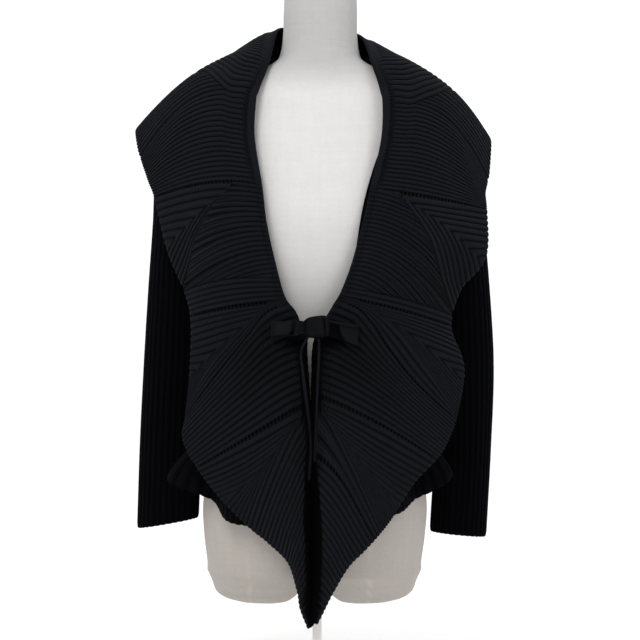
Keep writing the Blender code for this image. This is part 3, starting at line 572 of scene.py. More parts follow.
def add_torso(shell, places):
    """The form's skin from the cut neck down to the crotch; returns its lowest ring."""
    heights = [FORM[-1, 0] / MM]
    while heights[-1] > LAST_FORM_ROW:
        near_seam = FINE_FORM_ROWS[0] < heights[-1] < FINE_FORM_ROWS[1]
        heights.append(heights[-1] - (FINE_FORM_STEP if near_seam else FORM_STEP))
    heights = np.array(heights + [FORM[0, 0] / MM]) * MM
    right = form_point(RIGHT, places, heights[:, None])
    left = form_point(LEFT, places[-2:0:-1], heights[:, None])
    skin = np.concatenate([right, left], axis=1)
    rings = shell.add(skin)
    shell.quads(rings, closed=True)
    top = skin[0]
    middle = top.mean(axis=0)
    upper = rings[0]
    for share, rise in NECK_CAP:
        cap = shell.add(middle + (top - middle) * share + (0, 0, rise * MM))
        shell.quads(np.stack([cap, upper]), closed=True)
        upper = cap
    shell.close(upper, middle + (0, 0, NECK_CAP_CROWN), flip=True)
    waist = skin[-1].copy()
    waist[:, 2] = CROTCH_HEIGHT
    crotch = shell.add(waist)
    shell.quads(np.stack([rings[-1], crotch]), closed=True)
    return waist, crotch


def add_stub(shell, side, loop, numbers):
    """One rounded thigh stub below its half of the crotch."""
    lean = FORM_LEAN * (CROTCH_HEIGHT - LEAN_PIVOT)
    centre = loop.mean(axis=0)
    stub_first = abs(centre[0] - lean) / MM
    (top, table_first, _), (_, second, _) = STUBS[:2]
    rows = np.linspace(0, len(STUBS) - 1, 17)[1:]
    for row, (height, distance, size) in zip(rows, spline(np.arange(len(STUBS)), STUBS, rows)):
        if row < 1:
            share = (second - stub_first) / (second - table_first)
            distance = stub_first + (distance - table_first) * share
        ring = centre + (loop - centre) * size
        ring[:, 0] += side * distance * MM + lean - centre[0]
        flat = smoothstep(row)
        ring[:, 2] = height * MM * flat + (loop[:, 2] - (top - height) * MM) * (1 - flat)
        lower = shell.add(ring)
        shell.quads(np.stack([numbers, lower]), closed=True)
        numbers = lower
    shell.close(numbers, np.array((side * STUBS[-1, 1] * MM + lean, centre[1], STUB_BOTTOM)))


def build_form():
    """Neck, torso and two thigh stubs in one smooth closed skin."""
    shell = Shell()
    places = np.linspace(-90, 90, FORM_HALF_TURN)
    waist, crotch = add_torso(shell, places)
    front = len(places) - 1
    share = np.arange(1, SADDLE_POINTS + 1) / (SADDLE_POINTS + 1)
    ridge = waist[front] + (waist[0] - waist[front]) * share[:, None]
    ridge[:, 2] += SADDLE_RISE * np.sin(math.pi * share)
    saddle = shell.add(ridge)
    add_stub(shell, RIGHT, np.vstack([waist[:front + 1], ridge]),
             np.append(crotch[:front + 1], saddle))
    add_stub(shell, LEFT, np.vstack([waist[front:], waist[:1], ridge[::-1]]),
             np.concatenate([crotch[front:], crotch[:1], saddle[::-1]]))
    piece = shell.build("dress_form_cover", LINEN, "linen", "dress_form")
    mesh = piece.data
    place = np.zeros(len(mesh.vertices) * 3)
    mesh.vertices.foreach_get("co", place)
    place = place.reshape(-1, 3)
    at_neck = smoothstep((place[:, 2] - neck_seam_height(place) + NECK_FADE) / (2 * NECK_FADE))
    for name, values in (("seam", seam_share(place)), ("neck", at_neck),
                         ("painted_light", spline(PAINTED_LIGHT_HEIGHTS[:, 0], PAINTED_LIGHT_HEIGHTS[:, 1], place[:, 2]))):
        mesh.attributes.new(name, "FLOAT", "POINT").data.foreach_set("value", values)


build_form()

# ---------------------------------------------------------------- stand
POLE_RADIUS = 7 * MM
POLE_SHOULDER = 148 * MM
POLE_TIP_RADIUS = 2.5 * MM
POLE_TOP = 167.4 * MM
BASE_RADIUS = 150 * MM
BASE_THICKNESS = 10 * MM
BASE_EDGE = 3 * MM
STAND_TURNS = 96


def build_turned(name, profile, node):
    """A turned piece from its profile of radius and height."""
    shell = Shell()
    profile = np.array(profile, float)
    turn = math.tau * np.arange(STAND_TURNS) / STAND_TURNS
    points = np.stack([profile[:, :1] * np.cos(turn), profile[:, :1] * np.sin(turn),
                       np.broadcast_to(profile[:, 1:], (len(profile), STAND_TURNS))], axis=-1)
    shell.tube(points)
    shell.build(name, STAND, "stand", node, crease=35)


def quarter(middle_radius, middle_height, radius, start, end, steps=8):
    """Points of a rounded corner in a profile, between two angles in degrees."""
    angles = np.radians(np.linspace(start, end, steps))
    return [(middle_radius + radius * math.cos(angle), middle_height + radius * math.sin(angle))
            for angle in angles]


def build_stand():
    """Round weighted base and the slim pole that carries the form."""
    foot = 1 * MM
    base = [(0.5 * MM, 0.0), (BASE_RADIUS - foot, 0.0)]
    base += quarter(BASE_RADIUS - foot, foot, foot, -90, 0)
    base += quarter(BASE_RADIUS - BASE_EDGE, BASE_THICKNESS - BASE_EDGE, BASE_EDGE, 0, 90)
    base += [(POLE_RADIUS * 2.4, BASE_THICKNESS), (0.5 * MM, BASE_THICKNESS)]
    build_turned("stand_base_plate", base, "stand_base")
    seat = BASE_THICKNESS + 0.3 * MM
    pole = [(0.5 * MM, seat), (POLE_RADIUS * 2.1, seat)]
    pole += quarter(POLE_RADIUS * 2.1 - 2 * MM, seat + 5 * MM, 2 * MM, 0, 90)
    pole += [(POLE_RADIUS, seat + 7 * MM), (POLE_RADIUS, POLE_SHOULDER)]
    pole += [(POLE_TIP_RADIUS, POLE_TOP), (0.5 * MM, POLE_TOP)]
    build_turned("stand_pole_tube", pole, "stand_pole")


build_stand()

# ---------------------------------------------------------------- body of the cardigan
WALL = 2.2 * MM
EASE = np.array(((240, 9), (300, 8), (360, 8), (420, 9), (480, 12), (560, 11), (620, 8), (690, 6),
                 (755, 5), (810, 5), (862, 6.6), (925, 4)), float) * MM
HEM_START = 425 * MM
HEM_LEVEL = 262 * MM
FLARE_FULL = 290 * MM
FRONT_EDGE = np.array((
    # height, right and left front edge's distance from the middle
    (235, 20, 14), (400, 24, 14), (480, 26, 18), (525, 32, 26), (560, 48, 38), (600, 62, 48),
    (650, 76, 54), (700, 86, 62), (760, 96, 78), (800, 100, 92), (850, 98, 98), (885, 94, 96),
    (905, 82, 84), (925, 63, 63),
), float) * MM
# Waves of the flared hem: place round the body in degrees, half width and how far it stands out.
Crest = namedtuple("Crest", "place half_width reach")
HEM_CRESTS = {
    RIGHT: (Crest(20, 17, 62), Crest(52, 14, 14), Crest(-38, 17, 40), Crest(-70, 14, 20)),
    LEFT: (Crest(20, 17, 48), Crest(52, 14, 12), Crest(-36, 17, 46), Crest(-68, 14, 24)),
}
HEM_HEIGHTS = np.array((
    # place, right, left
    (-90, 262, 262), (-60, 268, 270), (-30, 285, 287), (0, 290, 292), (18, 308, 314),
    (32, 284, 286), (48, 256, 268), (65, 246, 256), (90, 243, 250),
), float)
ARMHOLE_MIDDLE = 784 * MM
ARMHOLE_HALF_HEIGHT = 80 * MM
ARMHOLE_HALF_ANGLE = 27.0
BODY_TOP = 925 * MM
BODY_RIB_RISE = 1.5 * MM
FRONT_RIBS = 24
BACK_RIBS = 50
PER_RIB = 6                    # columns of points across one rib
BODY_ROWS = 64
SIDE_SEAM = 0.3                # degrees that a panel stops short of the armhole or the side
EDGE_BAND = 9 * MM             # smooth selvedge along the front edges
EDGE_ROUNDING = (3 * MM, 0.12)         # radius of a hem's or a cuff's edge and its least fullness


def hem_height(side, place):
    """Height of the hem at a place round the body."""
    column = 1 if side == RIGHT else 2
    return spline(HEM_HEIGHTS[:, 0], HEM_HEIGHTS[:, column] * MM, place)


def hem_flare(side, place, height):
    """How far the flared hem stands out from the body's own curve."""
    reach = 0
    for crest in HEM_CRESTS[side]:
        offset = np.clip((place - crest.place) / crest.half_width, -1, 1)
        reach = reach + crest.reach * MM * np.cos(offset * math.pi / 2) ** 2
    return reach * smoothstep((HEM_START - height) / (HEM_START - FLARE_FULL))


def body_point(side, place, height, out):
    """Point of the body's cloth, a distance outside its inner face."""
    ease = spline(EASE[:, 0], EASE[:, 1], height)
    normal = form_normal(side, place, height)
    plan = unit(normal * (1, 1, 0))
    flare = hem_flare(side, place, height)
    return form_point(side, place, height) + normal * np.expand_dims(ease + out, -1) \
        + plan * np.expand_dims(flare, -1)


def armhole_place(height):
    """How far round from the side seam the armhole's edge lies at a height, in degrees."""
    share = np.clip(1 - ((height - ARMHOLE_MIDDLE) / ARMHOLE_HALF_HEIGHT) ** 2, 0, 1)
    return ARMHOLE_HALF_ANGLE * np.sqrt(share)


def front_edge_place(side, height):
    """Place round the body of a front panel's front edge at a height."""
    column = 1 if side == RIGHT else 2
    from_middle = spline(FRONT_EDGE[:, 0], FRONT_EDGE[:, column], height)
    half_width = form_section(height)[0]
    share = np.clip(from_middle / half_width, 0, 0.985)
    return np.degrees(np.arccos(share ** (FORM_SQUARENESS / 2)))


def add_wall(shell, blocks, ribs, crests, closed=False):
    """Outer and inner face of a wall and the rim below them; returns their point numbers."""
    numbers = [shell.add(block, values, crest)
               for block, values, crest in zip(blocks, (ribs, ribs, ribs[-1]), crests)]
    outer, inner, rim = numbers
    for rows in (outer, inner[::-1], np.stack([outer[-1], rim, inner[-1]]),
                 np.stack([inner[0], outer[0]])):
        shell.quads(rows, closed)
    return numbers


def build_panel(node, ribs, ends, hem, point, front_edge=False):
    """Ribbed wall of a body panel, closed round all its edges."""
    shell = Shell()
    columns = np.arange(ribs * PER_RIB + 1)
    phase = columns / PER_RIB
    profile = rib_profile(phase)
    levels = BODY_TOP - np.linspace(0, 1, BODY_ROWS) * (BODY_TOP - HEM_LEVEL)
    above = np.maximum(levels, HEM_START)
    start, end = ends(above)
    share = columns / columns[-1]
    places = start[:, None] + (end - start)[:, None] * share
    flared = np.clip((HEM_START - levels) / (HEM_START - levels[-1]), 0, 1)
    heights = above[:, None] + (hem(places) - HEM_START) * flared[:, None]
    valley = point(places, heights, WALL)
    width = np.linalg.norm(np.gradient(valley, axis=1), axis=-1) * PER_RIB
    rise = np.minimum(BODY_RIB_RISE, 0.28 * width)
    smooth = 1.0
    if front_edge:
        from_edge = np.cumsum(width / PER_RIB, axis=1) - width / PER_RIB
        smooth = smoothstep((from_edge - EDGE_BAND) / (4 * MM))
    along = np.cumsum(np.linalg.norm(np.diff(valley, axis=0, prepend=valley[:1]), axis=-1), axis=0)
    to_hem = along[-1] - along
    round_off = rounded(to_hem, *EDGE_ROUNDING)
    outer = point(places, heights, WALL + rise * profile * smooth * round_off)
    inner = point(places, heights, 0.5 * MM * profile * np.minimum(1, round_off))
    # painted shade: darker in the rib valleys and on the inner face and the rim, full colour on the
    # smooth front edge
    crest = np.broadcast_to(profile, along.shape) * smooth + (1 - smooth)
    drop = unit(valley[-1] - valley[-2]) * ((1.1 + 1.3 * profile) * MM)[:, None]
    *walls, rim = add_wall(shell, (outer, inner, (valley[-1] + inner[-1]) / 2 + drop),
                           rib_values(phase, along), (crest, 0.4 * crest, 0.8 * profile))
    for column, sign in ((0, 1), (-1, -1)):
        edge = np.stack([np.append(wall[:, column], rim[column]) for wall in walls])
        shell.quads(edge[::sign])
    shell.faces = [list(dict.fromkeys(face)) for face in shell.faces]
    return shell.build(node + "_knit", BODY_KNIT, "knit", node)


def front_ends(side, height):
    """Where a front begins and ends round the body at a height."""
    return front_edge_place(side, height), armhole_place(height) + SIDE_SEAM


def back_ends(height):
    """Where the back begins and ends; its places run from -90 at the right side to 90."""
    reach = 90 - (armhole_place(height) + SIDE_SEAM)
    return -reach, reach


def behind(measure, across, *rest):
    """A measure of either side, read at a place across the back."""
    place = np.abs(across) - 90
    right, left = (measure(side, place, *rest) for side in (RIGHT, LEFT))
    on_right = across < 0
    return np.where(on_right[..., None] if right.ndim > across.ndim else on_right, right, left)


def build_body():
    """Back and two fronts of the ribbed body."""
    for side, word in SIDES:
        piece = build_panel("front_" + word, FRONT_RIBS, partial(front_ends, side),
                            partial(hem_height, side), partial(body_point, side), True)
    piece = build_panel("back", BACK_RIBS, back_ends, partial(behind, hem_height),
                        partial(behind, body_point))


build_body()

# ---------------------------------------------------------------- sleeves
# Rings of a sleeve below its armhole: the places nearest to and farthest from the body, half the
# depth, and how far behind the middle plane it hangs.
Ring = namedtuple("Ring", "near_x near_z far_x far_z half_depth back")
SLEEVES = {
    RIGHT: (
        (166, 693, 201, 858, 53, 4),
        (166, 684, 228, 826, 51, 6),
        (166, 666, 242, 776, 47, 9),
        (167, 622, 246, 690, 42, 12),
        (168, 545, 254, 580, 35, 16),
        (171, 455, 261, 468, 30, 20),
        (176, 350, 267, 350, 26, 22),
        (180, 243, 271, 227, 23, 22),
    ),
    LEFT: (
        (168, 693, 206, 860, 53, 4),
        (168, 684, 228, 825, 51, 6),
        (168, 666, 240, 776, 47, 9),
        (168, 622, 250, 690, 42, 12),
        (167, 545, 260, 580, 35, 16),
        (168, 455, 266, 468, 30, 20),
        (177, 340, 262, 345, 26, 23),
        (172, 222, 255, 214, 23, 24),
    ),
}
SLEEVE_RIBS = 30
SLEEVE_RIB_RISE = 1.4 * MM
SLEEVE_ROWS = 96
ARMHOLE_TURN = 550
ARMHOLE_LAP = 2 * MM
OUT_OF_BODY = WALL + 1.3 * MM + 0.9 * MM
# Soft creases across a sleeve: the height at its outer side, how steeply it falls towards the
# body, its place round the sleeve and width in turns, half breadth and depth.
Fold = namedtuple("Fold", "height slope place spread breadth depth")
SLEEVE_FOLDS = {
    RIGHT: ((640, 0.5, 0.05, 0.09, 13, 1.2), (590, 0.3, 0.95, 0.09, 11, 1.4),
            (548, 0.1, 0.06, 0.10, 12, 1.6), (505, -0.2, 0.98, 0.09, 12, 1.3),
            (455, -0.1, 0.03, 0.08, 14, 1.0), (380, 0.2, 0.97, 0.09, 16, 0.8),
            (300, -0.2, 0.04, 0.09, 15, 0.8), (560, 0.3, 0.52, 0.12, 15, 2.2),
            (500, -0.1, 0.47, 0.11, 15, 2.4), (410, 0.2, 0.53, 0.11, 17, 1.5)),
    LEFT: ((655, 0.5, 0.96, 0.09, 13, 1.2), (602, 0.2, 0.04, 0.09, 12, 1.3),
           (556, -0.1, 0.97, 0.09, 12, 1.6), (512, 0.2, 0.05, 0.09, 12, 1.3),
           (440, 0.1, 0.98, 0.09, 15, 1.0), (360, -0.2, 0.03, 0.09, 16, 0.8),
           (285, 0.2, 0.97, 0.09, 15, 0.8), (575, -0.2, 0.48, 0.12, 15, 2.2),
           (515, 0.2, 0.53, 0.11, 14, 2.4), (425, -0.1, 0.47, 0.11, 17, 1.5)),
}


def sleeve_rings(side, turn, grow):
    """The sleeve's rings of points from the armhole to the cuff, a distance out of its wall."""
    rings = []
    lap = ARMHOLE_LAP + WALL
    spread = lap + grow - WALL
    place = (ARMHOLE_HALF_ANGLE + spread * ARMHOLE_TURN) * np.cos(turn)
    height = ARMHOLE_MIDDLE + (ARMHOLE_HALF_HEIGHT + spread) * np.sin(turn)
    rings.append(body_point(side, place, height, OUT_OF_BODY))
    for row in (Ring(*sizes) for sizes in SLEEVES[side]):
        near = np.array((side * row.near_x, 0, row.near_z)) * MM
        far = np.array((side * row.far_x, 0, row.far_z)) * MM
        middle = (near + far) / 2 + (0, row.back * MM, 0)
        half = (far - near) / 2
        half_length = np.linalg.norm(half)
        up = half / half_length * (half_length + grow - WALL)
        front = np.array((0, -(row.half_depth * MM + grow - WALL), 0))
        rings.append(middle + np.outer(np.sin(turn), up) + np.outer(np.cos(turn), front))
    return np.array(rings)


def sleeve_folds(side, turns, heights):
    """How far the sleeve's cloth is pressed in at each point by its creases."""
    depth = np.zeros(heights.shape)
    for fold in (Fold(*row) for row in SLEEVE_FOLDS[side]):
        away = (turns - fold.place + 0.5) % 1 - 0.5
        rise = (heights / MM - fold.height) - fold.slope * away * 250
        trough = bell(rise, fold.breadth)
        ridge = bell(rise + 1.7 * fold.breadth, fold.breadth)
        depth += fold.depth * MM * bell(away, fold.spread) * (trough - 0.7 * ridge)
    return depth


def build_sleeve(side, word):
    """Ribbed tube from the armhole to the open cuff."""
    shell = Shell()
    columns = np.arange(SLEEVE_RIBS * PER_RIB)
    phase = columns / PER_RIB
    profile = rib_profile(phase)
    turn = math.tau * columns / len(columns)
    plain = sleeve_rings(side, turn, WALL)
    rows = np.arange(len(plain))
    middles = plain.mean(axis=1)
    knots = lengths_along(middles)
    even = np.interp(np.linspace(0, knots[-1], SLEEVE_ROWS), knots, rows)
    valley = spline(rows, plain, even)
    under = spline(rows, sleeve_rings(side, turn, 0.0), even)
    round_it = np.roll(valley, -1, 1) - np.roll(valley, 1, 1)
    normal = unit(np.cross(np.gradient(valley, axis=0), round_it))
    outward = unit(valley - valley.mean(axis=1, keepdims=True))
    normal = normal * np.sign((normal * outward).sum(axis=-1, keepdims=True))
    fade = smoothstep((even - 1) / 1.5)[:, None]
    press = sleeve_folds(side, turn / math.tau, valley[..., 2]) * fade
    along = np.cumsum(np.linalg.norm(np.diff(valley, axis=0, prepend=valley[:1]), axis=-1), axis=0)
    to_cuff = along[-1] - along
    round_off = rounded(to_cuff, *EDGE_ROUNDING)
    at_head = smoothstep(np.clip(even / 0.5, 0, 1))[:, None]
    rise = SLEEVE_RIB_RISE * profile * round_off * (0.3 + 0.7 * at_head)
    outer = valley + normal * (rise - press)[..., None]
    inner = under + normal * (0.4 * MM * profile - press)[..., None]
    drop = unit(valley[-1] - valley[-2]) * ((1.0 + 0.8 * profile) * MM)[:, None]
    # painted shade: darker in the rib valleys and on the inner face and the rim
    add_wall(shell, (outer, inner, (valley[-1] + under[-1]) / 2 + drop),
             rib_values(phase, along), (profile, 0.3 * profile, 0.7 * profile), closed=True)
    name = "sleeve_" + word
    piece = shell.build(name + "_knit", SLEEVE_KNIT, "knit", name)


for sleeve_side, sleeve_word in SIDES:
    build_sleeve(sleeve_side, sleeve_word)

# ---------------------------------------------------------------- collar
# Sections across the collar, from the centre back, over the shoulder and down the front to the
# tail's tip, each with a point at the neck edge, one half way and one at the outer edge.
COLLAR = {
    RIGHT: (
        ((0.4, 66, 984), (0.4, 116, 895), (0.4, 133, 742)),
        ((38, 52, 983), (92, 108, 900), (136, 132, 756)),
        ((57, 8, 973), (140, 62, 926), (230, 98, 790)),
        ((70, -61.4, 913.3), (143, 0, 927), (266, 62, 806)),
        ((84, -91.6, 869.8), (159, -30, 911), (272, 30, 826)),
        ((87, -98, 855), (172, -58, 873), (263, -14, 791)),
        ((89, -108, 802), (170, -88, 800), (248, -40, 751)),
        ((78, -125, 731), (150, -113, 735), (235, -54, 718)),
        ((72, -131, 680), (141, -129, 674), (215, -68, 642)),
        ((60, -128, 623), (123, -135, 614), (192, -82, 587)),
        ((46, -124, 573), (112, -135, 563), (179, -94, 540)),
        ((30, -124, 551), (106, -133, 523), (180, -100, 468)),
        ((22, -124, 528), (109, -132, 492), (187, -103, 400)),
        ((19, -124, 494), (103, -134, 440), (190, -106, 369)),
        ((19, -127, 417), (86, -144, 376), (168, -111, 328)),
        ((18.5, -127, 405), (78, -147, 348), (136, -116, 287)),
        ((18, -127, 391), (58, -149, 325), (96, -120, 247)),
        ((17, -127, 336), (42, -149, 280), (67, -124, 224)),
        ((15.5, -126, 265), (28, -147, 229), (38, -126, 195)),
        ((13, -125, 197), (20, -144, 175), (25, -128, 155)),
        ((12, -124, 143), (17, -138, 137), (22, -130, 130)),
        ((9, -125, 112), (10, -132, 106), (11.5, -130, 102)),
    ),
    LEFT: (
        ((0.4, 66, 984), (0.4, 116, 895), (0.4, 133, 742)),
        ((38, 52, 982), (92, 108, 896), (136, 134, 752)),
        ((66, 8, 962), (140, 60, 914), (226, 98, 786)),
        ((81, -70.6, 907), (153, -2, 915), (256, 62, 797)),
        ((91, -91.4, 870.5), (175, -37, 891), (260, 24, 810)),
        ((94, -100, 850), (179, -65, 849), (253, -20, 757)),
        ((92, -109, 799), (170, -92, 788), (245, -44, 725)),
        ((77, -125, 731), (155, -113, 716), (246, -60, 698)),
        ((66, -131, 680), (149, -133, 665), (242, -84, 632)),
        ((50, -128, 620), (126, -135, 611), (207, -80, 583)),
        ((35, -124, 580), (111, -137, 561), (191, -88, 531)),
        ((23, -124, 560), (112, -135, 529), (209, -100, 472)),
        ((7, -124, 531), (95, -138, 486), (200, -108, 407)),
        ((-3, -124, 494), (97, -140, 434), (187, -110, 371)),
        ((0, -127, 431), (87, -145, 393), (171, -115, 345)),
        ((0, -127, 420), (70, -148, 365), (136, -118, 308)),
        ((0, -127, 403), (50, -149, 336), (102, -121, 254)),
        ((0, -127, 351), (30, -149, 286), (70, -124, 217)),
        ((0, -126, 280), (20, -147, 235), (43, -126, 190)),
        ((-1, -125, 203), (10, -144, 178), (21, -128, 154)),
        ((-2, -124, 146), (2, -138, 135), (7, -130, 125)),
        ((-2.5, -124, 122), (-1.5, -130, 116), (-0.5, -129, 111)),
    ),
}
COLLAR_TABLES = {side: np.array(COLLAR[side], float) * np.array((side, 1, 1)) * MM
                 for side, _ in SIDES}
COLLAR_PLACES = np.arange(len(COLLAR[RIGHT]))
COLLAR_WALL = 3.0 * MM
COLLAR_RIB_RISE = 2.1 * MM
COLLAR_ROUNDING = (2.6 * MM, 0.1)      # radius of the outer edge and its least fullness
SEAM_TURN = 0.6                        # the face's sideways lean fades in from the seam to here
BAND_WIDTH = 12 * MM
BAND_WALL = 3.6 * MM
BAND_END = 11.85
BAND_FADE = (11.95, 12.45)             # where along the collar its room for the band ends
TURN_IN_START = 12                     # from here on the neck edge turns in below the bow
TURN_IN_SHARE = 0.16
TURN_IN_FADE = 5
TURN_IN_BACK = 15 * MM
TURN_IN_ACROSS = {RIGHT: 6 * MM, LEFT: 4 * MM}
# Below the bow the two neck edges close over each other, the right one behind: rows of a place
# along and its edge's shift in X, Y and Z.
EDGE_SHIFT = {
    RIGHT: np.array(((11.9, 0, 0, 0), (12.2, 5.0, 0, 0), (12.6, 3.5, 0, 0), (13.1, 0.3, 0, 0),
                     (13.6, 0.6, 1, 0), (14.2, 3.4, 3, 0), (15.5, 3.7, 3, 0), (18, 3.6, 3, 0),
                     (20, 4.0, 2, 0), (21, 5.0, 1.5, 0))),
    LEFT: np.array(((11.9, 0, 0, 0), (12.3, -2.5, 0, 0), (12.8, -1.0, 0, 0), (13.4, 0, 0, 0),
                    (13.8, -2.0, 0, 0), (14.3, -2.8, -1, 0), (18, -2.6, -1, 0),
                    (20, -3.4, -1, -1), (21, -5.4, -1.5, -7))),
}
TAIL_REACH = 2.5                       # how far across the shift reaches at the tail's tip

# Wedges of ribs between the collar's lines.  A line's rows are places across and along.  A gore
# is a group of short ribs that meet on a mitre, with rows of the same kind from its apex to the
# outer edge; foot is where its last rib ends, and turn tells how soon its first and its last
# turned rib bend away; ending is how many of the wedge's ribs end on the foot, and closing how
# many end further on, on a line that reaches the outer edge at closing_place.  The fan after a
# line has ribs on one side only, which start on the line.
Line = namedtuple("Line", "rows eyelets")
Gore = namedtuple("Gore", "ribs mitre foot turn ending closing closing_place",
                  defaults=(0, 0, 0.0))
Fan = namedtuple("Fan", "ribs start foot")
Wedge = namedtuple("Wedge", "ribs gore fan line")


def straight(neck, outer, eyelets=False):
    """A line that runs evenly from one place at the neck edge to another at the outer edge."""
    return Line(((0.0, neck), (1.0, outer)), eyelets)


WEDGES = {
    RIGHT: (
        Wedge(30, None, Fan(17, 0.21, 5.2),
              Line(((0, 5.0), (0.21, 5.08), (0.34, 4.72), (0.53, 4.0), (0.77, 3.2), (1, 2.4)),
                   False)),
        Wedge(18, None, None, straight(7.0, 6.95, True)),
        Wedge(25, Gore(7, ((0.24, 7.0), (0.36, 7.3), (0.60, 7.6), (0.81, 7.8), (1.0, 7.92)), 8.95,
                       (1.15, 1.0), 14, 6, 9.1), None, straight(10.15, 9.9, True)),
        Wedge(3, Gore(9, ((0.12, 10.22), (0.26, 10.5), (0.52, 10.88), (0.82, 11.1), (1.0, 11.15)),
                      11.8, (0.9, 0.62)), None,
              Line(((0, 10.4), (0.18, 10.55), (0.30, 10.86), (0.37, 11.15), (0.43, 11.45),
                    (0.5, 11.72), (0.6, 11.9), (0.77, 12.02), (1, 12.02)), True)),
        Wedge(13, None, None, straight(13.88, 13.95, True)),
        Wedge(23, Gore(8, ((0.05, 13.9), (0.12, 14.8), (0.25, 15.35), (0.55, 15.42), (1.0, 15.1)),
                       16.3, (0.15, 1.15)), None, straight(21.0, 21.0)),
    ),
    LEFT: (
        Wedge(30, None, Fan(16, 0.21, 5.2),
              Line(((0, 5.1), (0.21, 5.18), (0.30, 5.0), (0.38, 4.8), (0.67, 3.7), (1, 2.5)),
                   False)),
        Wedge(20, None, None, straight(7.05, 6.92, True)),
        Wedge(25, Gore(9, ((0.22, 7.05), (0.34, 7.26), (0.43, 7.38), (0.51, 7.5), (0.60, 7.62),
                           (0.69, 7.75), (0.78, 7.88), (0.86, 8.0), (0.94, 8.08), (1.0, 8.12)),
                       9.6, (0.97, 1.0), 13, 10, 9.72), None,
                       straight(10.2, 10.0, True)),
        Wedge(3, Gore(9, ((0.12, 10.25), (0.24, 10.55), (0.50, 10.9), (0.80, 11.15), (1.0, 11.25)),
                      12.0, (0.9, 0.62)), None,
              Line(((0, 10.55), (0.17, 10.8), (0.24, 11.05), (0.33, 11.3), (0.45, 11.62),
                    (0.54, 11.8), (0.65, 12.0), (0.81, 12.15), (1, 12.2)), True)),
        Wedge(13, None, None, straight(13.88, 14.08, True)),
        Wedge(2, Gore(10, ((0.05, 13.9), (0.12, 14.9), (0.25, 15.45), (0.55, 15.62), (1.0, 15.64)),
                      16.4, (0.15, 1.15)), None,
              Line(((0, 17.0), (0.15, 16.82), (0.3, 16.66), (1, 16.64)), True)),
        Wedge(20, None, None, straight(21.0, 21.0)),
    ),
}
ENDING_POWER = 1.7             # how soon the ribs that end on a line bend down towards it
CLOSING_END = 0.15             # where across the collar the last of the closing ribs ends
NEAR_FACE = 0.01               # step across the collar for reading which way is outward
FINE_RIBS = (4 * MM, 6 * MM)           # breadth beside the band where ribs are doubled, and fade
DOUBLED_END = 7.1
SMOOTH_RIBS = (12 * MM, 8 * MM)        # smooth breadth beside the band behind the neck, and fade
SMOOTH_END = 4.6
FOLD_SHADE = 0.95                      # how dark the deep fold down the tail is
BOW_SHADE = 0.36                       # how dark the collar is under the bow
CLOSE_SHADE = (-2, 509, 14, 0.92)      # its middle's X and height, its breadth and its strength
FOLD_FLAT = 0.6                        # how much flatter the ribs are in the deep fold
# How far the deep fold reaches: rows of a place along and the place across.
FOLD_ACROSS = np.array(((12, 0.05), (13.5, 0.045), (16.5, 0.04), (17.3, 0.09), (18, 0.21),
                        (19, 0.41), (20, 0.6), (21, 0.7)))
FOLD_FADE = 0.035
FOLD_START = (12.2, 13.2)
EYELET_STEP = 6.0 * MM
EYELET_RADIUS = 1.9 * MM
EYELET_DEPTH = 2.2 * MM
EYELET_MARGIN = 9 * MM
BAR_BREADTH = 1.6 * MM
LINE_ROW = 1.1 * MM                    # step between points beside an eyelet line
EDGE_ROWS = (4.0, 2.2, 0.8)            # millimetres from the outer edge to the last points
EDGE_ROLL = 2.2 * MM                   # breadth of the outer edge where the ribs stand out
RIB_PITCH = 8 * MM
EYELET_REACH = 3.2 * MM                # how far from its line an eyelet shapes the ribs


def collar_point(side, along, across):
    """Point of the collar's inner face; across is 0 at the neck edge and 1 at the outer."""
    along = np.asarray(along, float)
    neck, middle, outer = (spline(COLLAR_PLACES, COLLAR_TABLES[side][:, part], along)
                           for part in range(3))
    share = np.expand_dims(np.asarray(across, float), -1)
    flat = neck * (1 - share) * (1 - 2 * share) + middle * 4 * share * (1 - share) \
        + outer * share * (2 * share - 1)
    amount = smoothstep((along - TURN_IN_START) / 2)
    amount = amount * smoothstep((COLLAR_PLACES[-1] - along) / TURN_IN_FADE)
    curl = np.expand_dims(amount, -1) * np.clip(1 - share / TURN_IN_SHARE, 0, 1) ** 2
    reach = TURN_IN_SHARE + (TAIL_REACH - TURN_IN_SHARE) * smoothstep((along - 17.5) / 3)
    near = np.clip(1 - share / np.expand_dims(reach, -1), 0, 1) ** 2
    shift = spline(EDGE_SHIFT[side][:, 0], EDGE_SHIFT[side][:, 1:] * MM, along)
    return flat + curl * np.array((-side * TURN_IN_ACROSS[side], TURN_IN_BACK, 0)) + near * shift


def collar_normal(side, along, across):
    """Outward direction of the collar's face."""
    step = 0.04
    lengthwise = collar_point(side, along + step, across) - collar_point(side, along - step, across)
    sideways = collar_point(side, along, across + step) - collar_point(side, along, across - step)
    normal = side * np.cross(lengthwise, sideways)
    upright = smoothstep(np.asarray(along, float) / SEAM_TURN)
    return unit(normal * np.stack([upright, upright ** 0, upright ** 0], axis=-1))


def collar_breadth(side, along):
    """Distance across the collar at a place along it."""
    return np.linalg.norm(collar_point(side, along, 1.0) - collar_point(side, along, 0.0), axis=-1)


def band_share(side, along):
    """Share of the collar's breadth that the neck band takes."""
    fade = 1 - smoothstep((along - BAND_FADE[0]) / (BAND_FADE[1] - BAND_FADE[0]))
    return BAND_WIDTH / collar_breadth(side, along) * fade


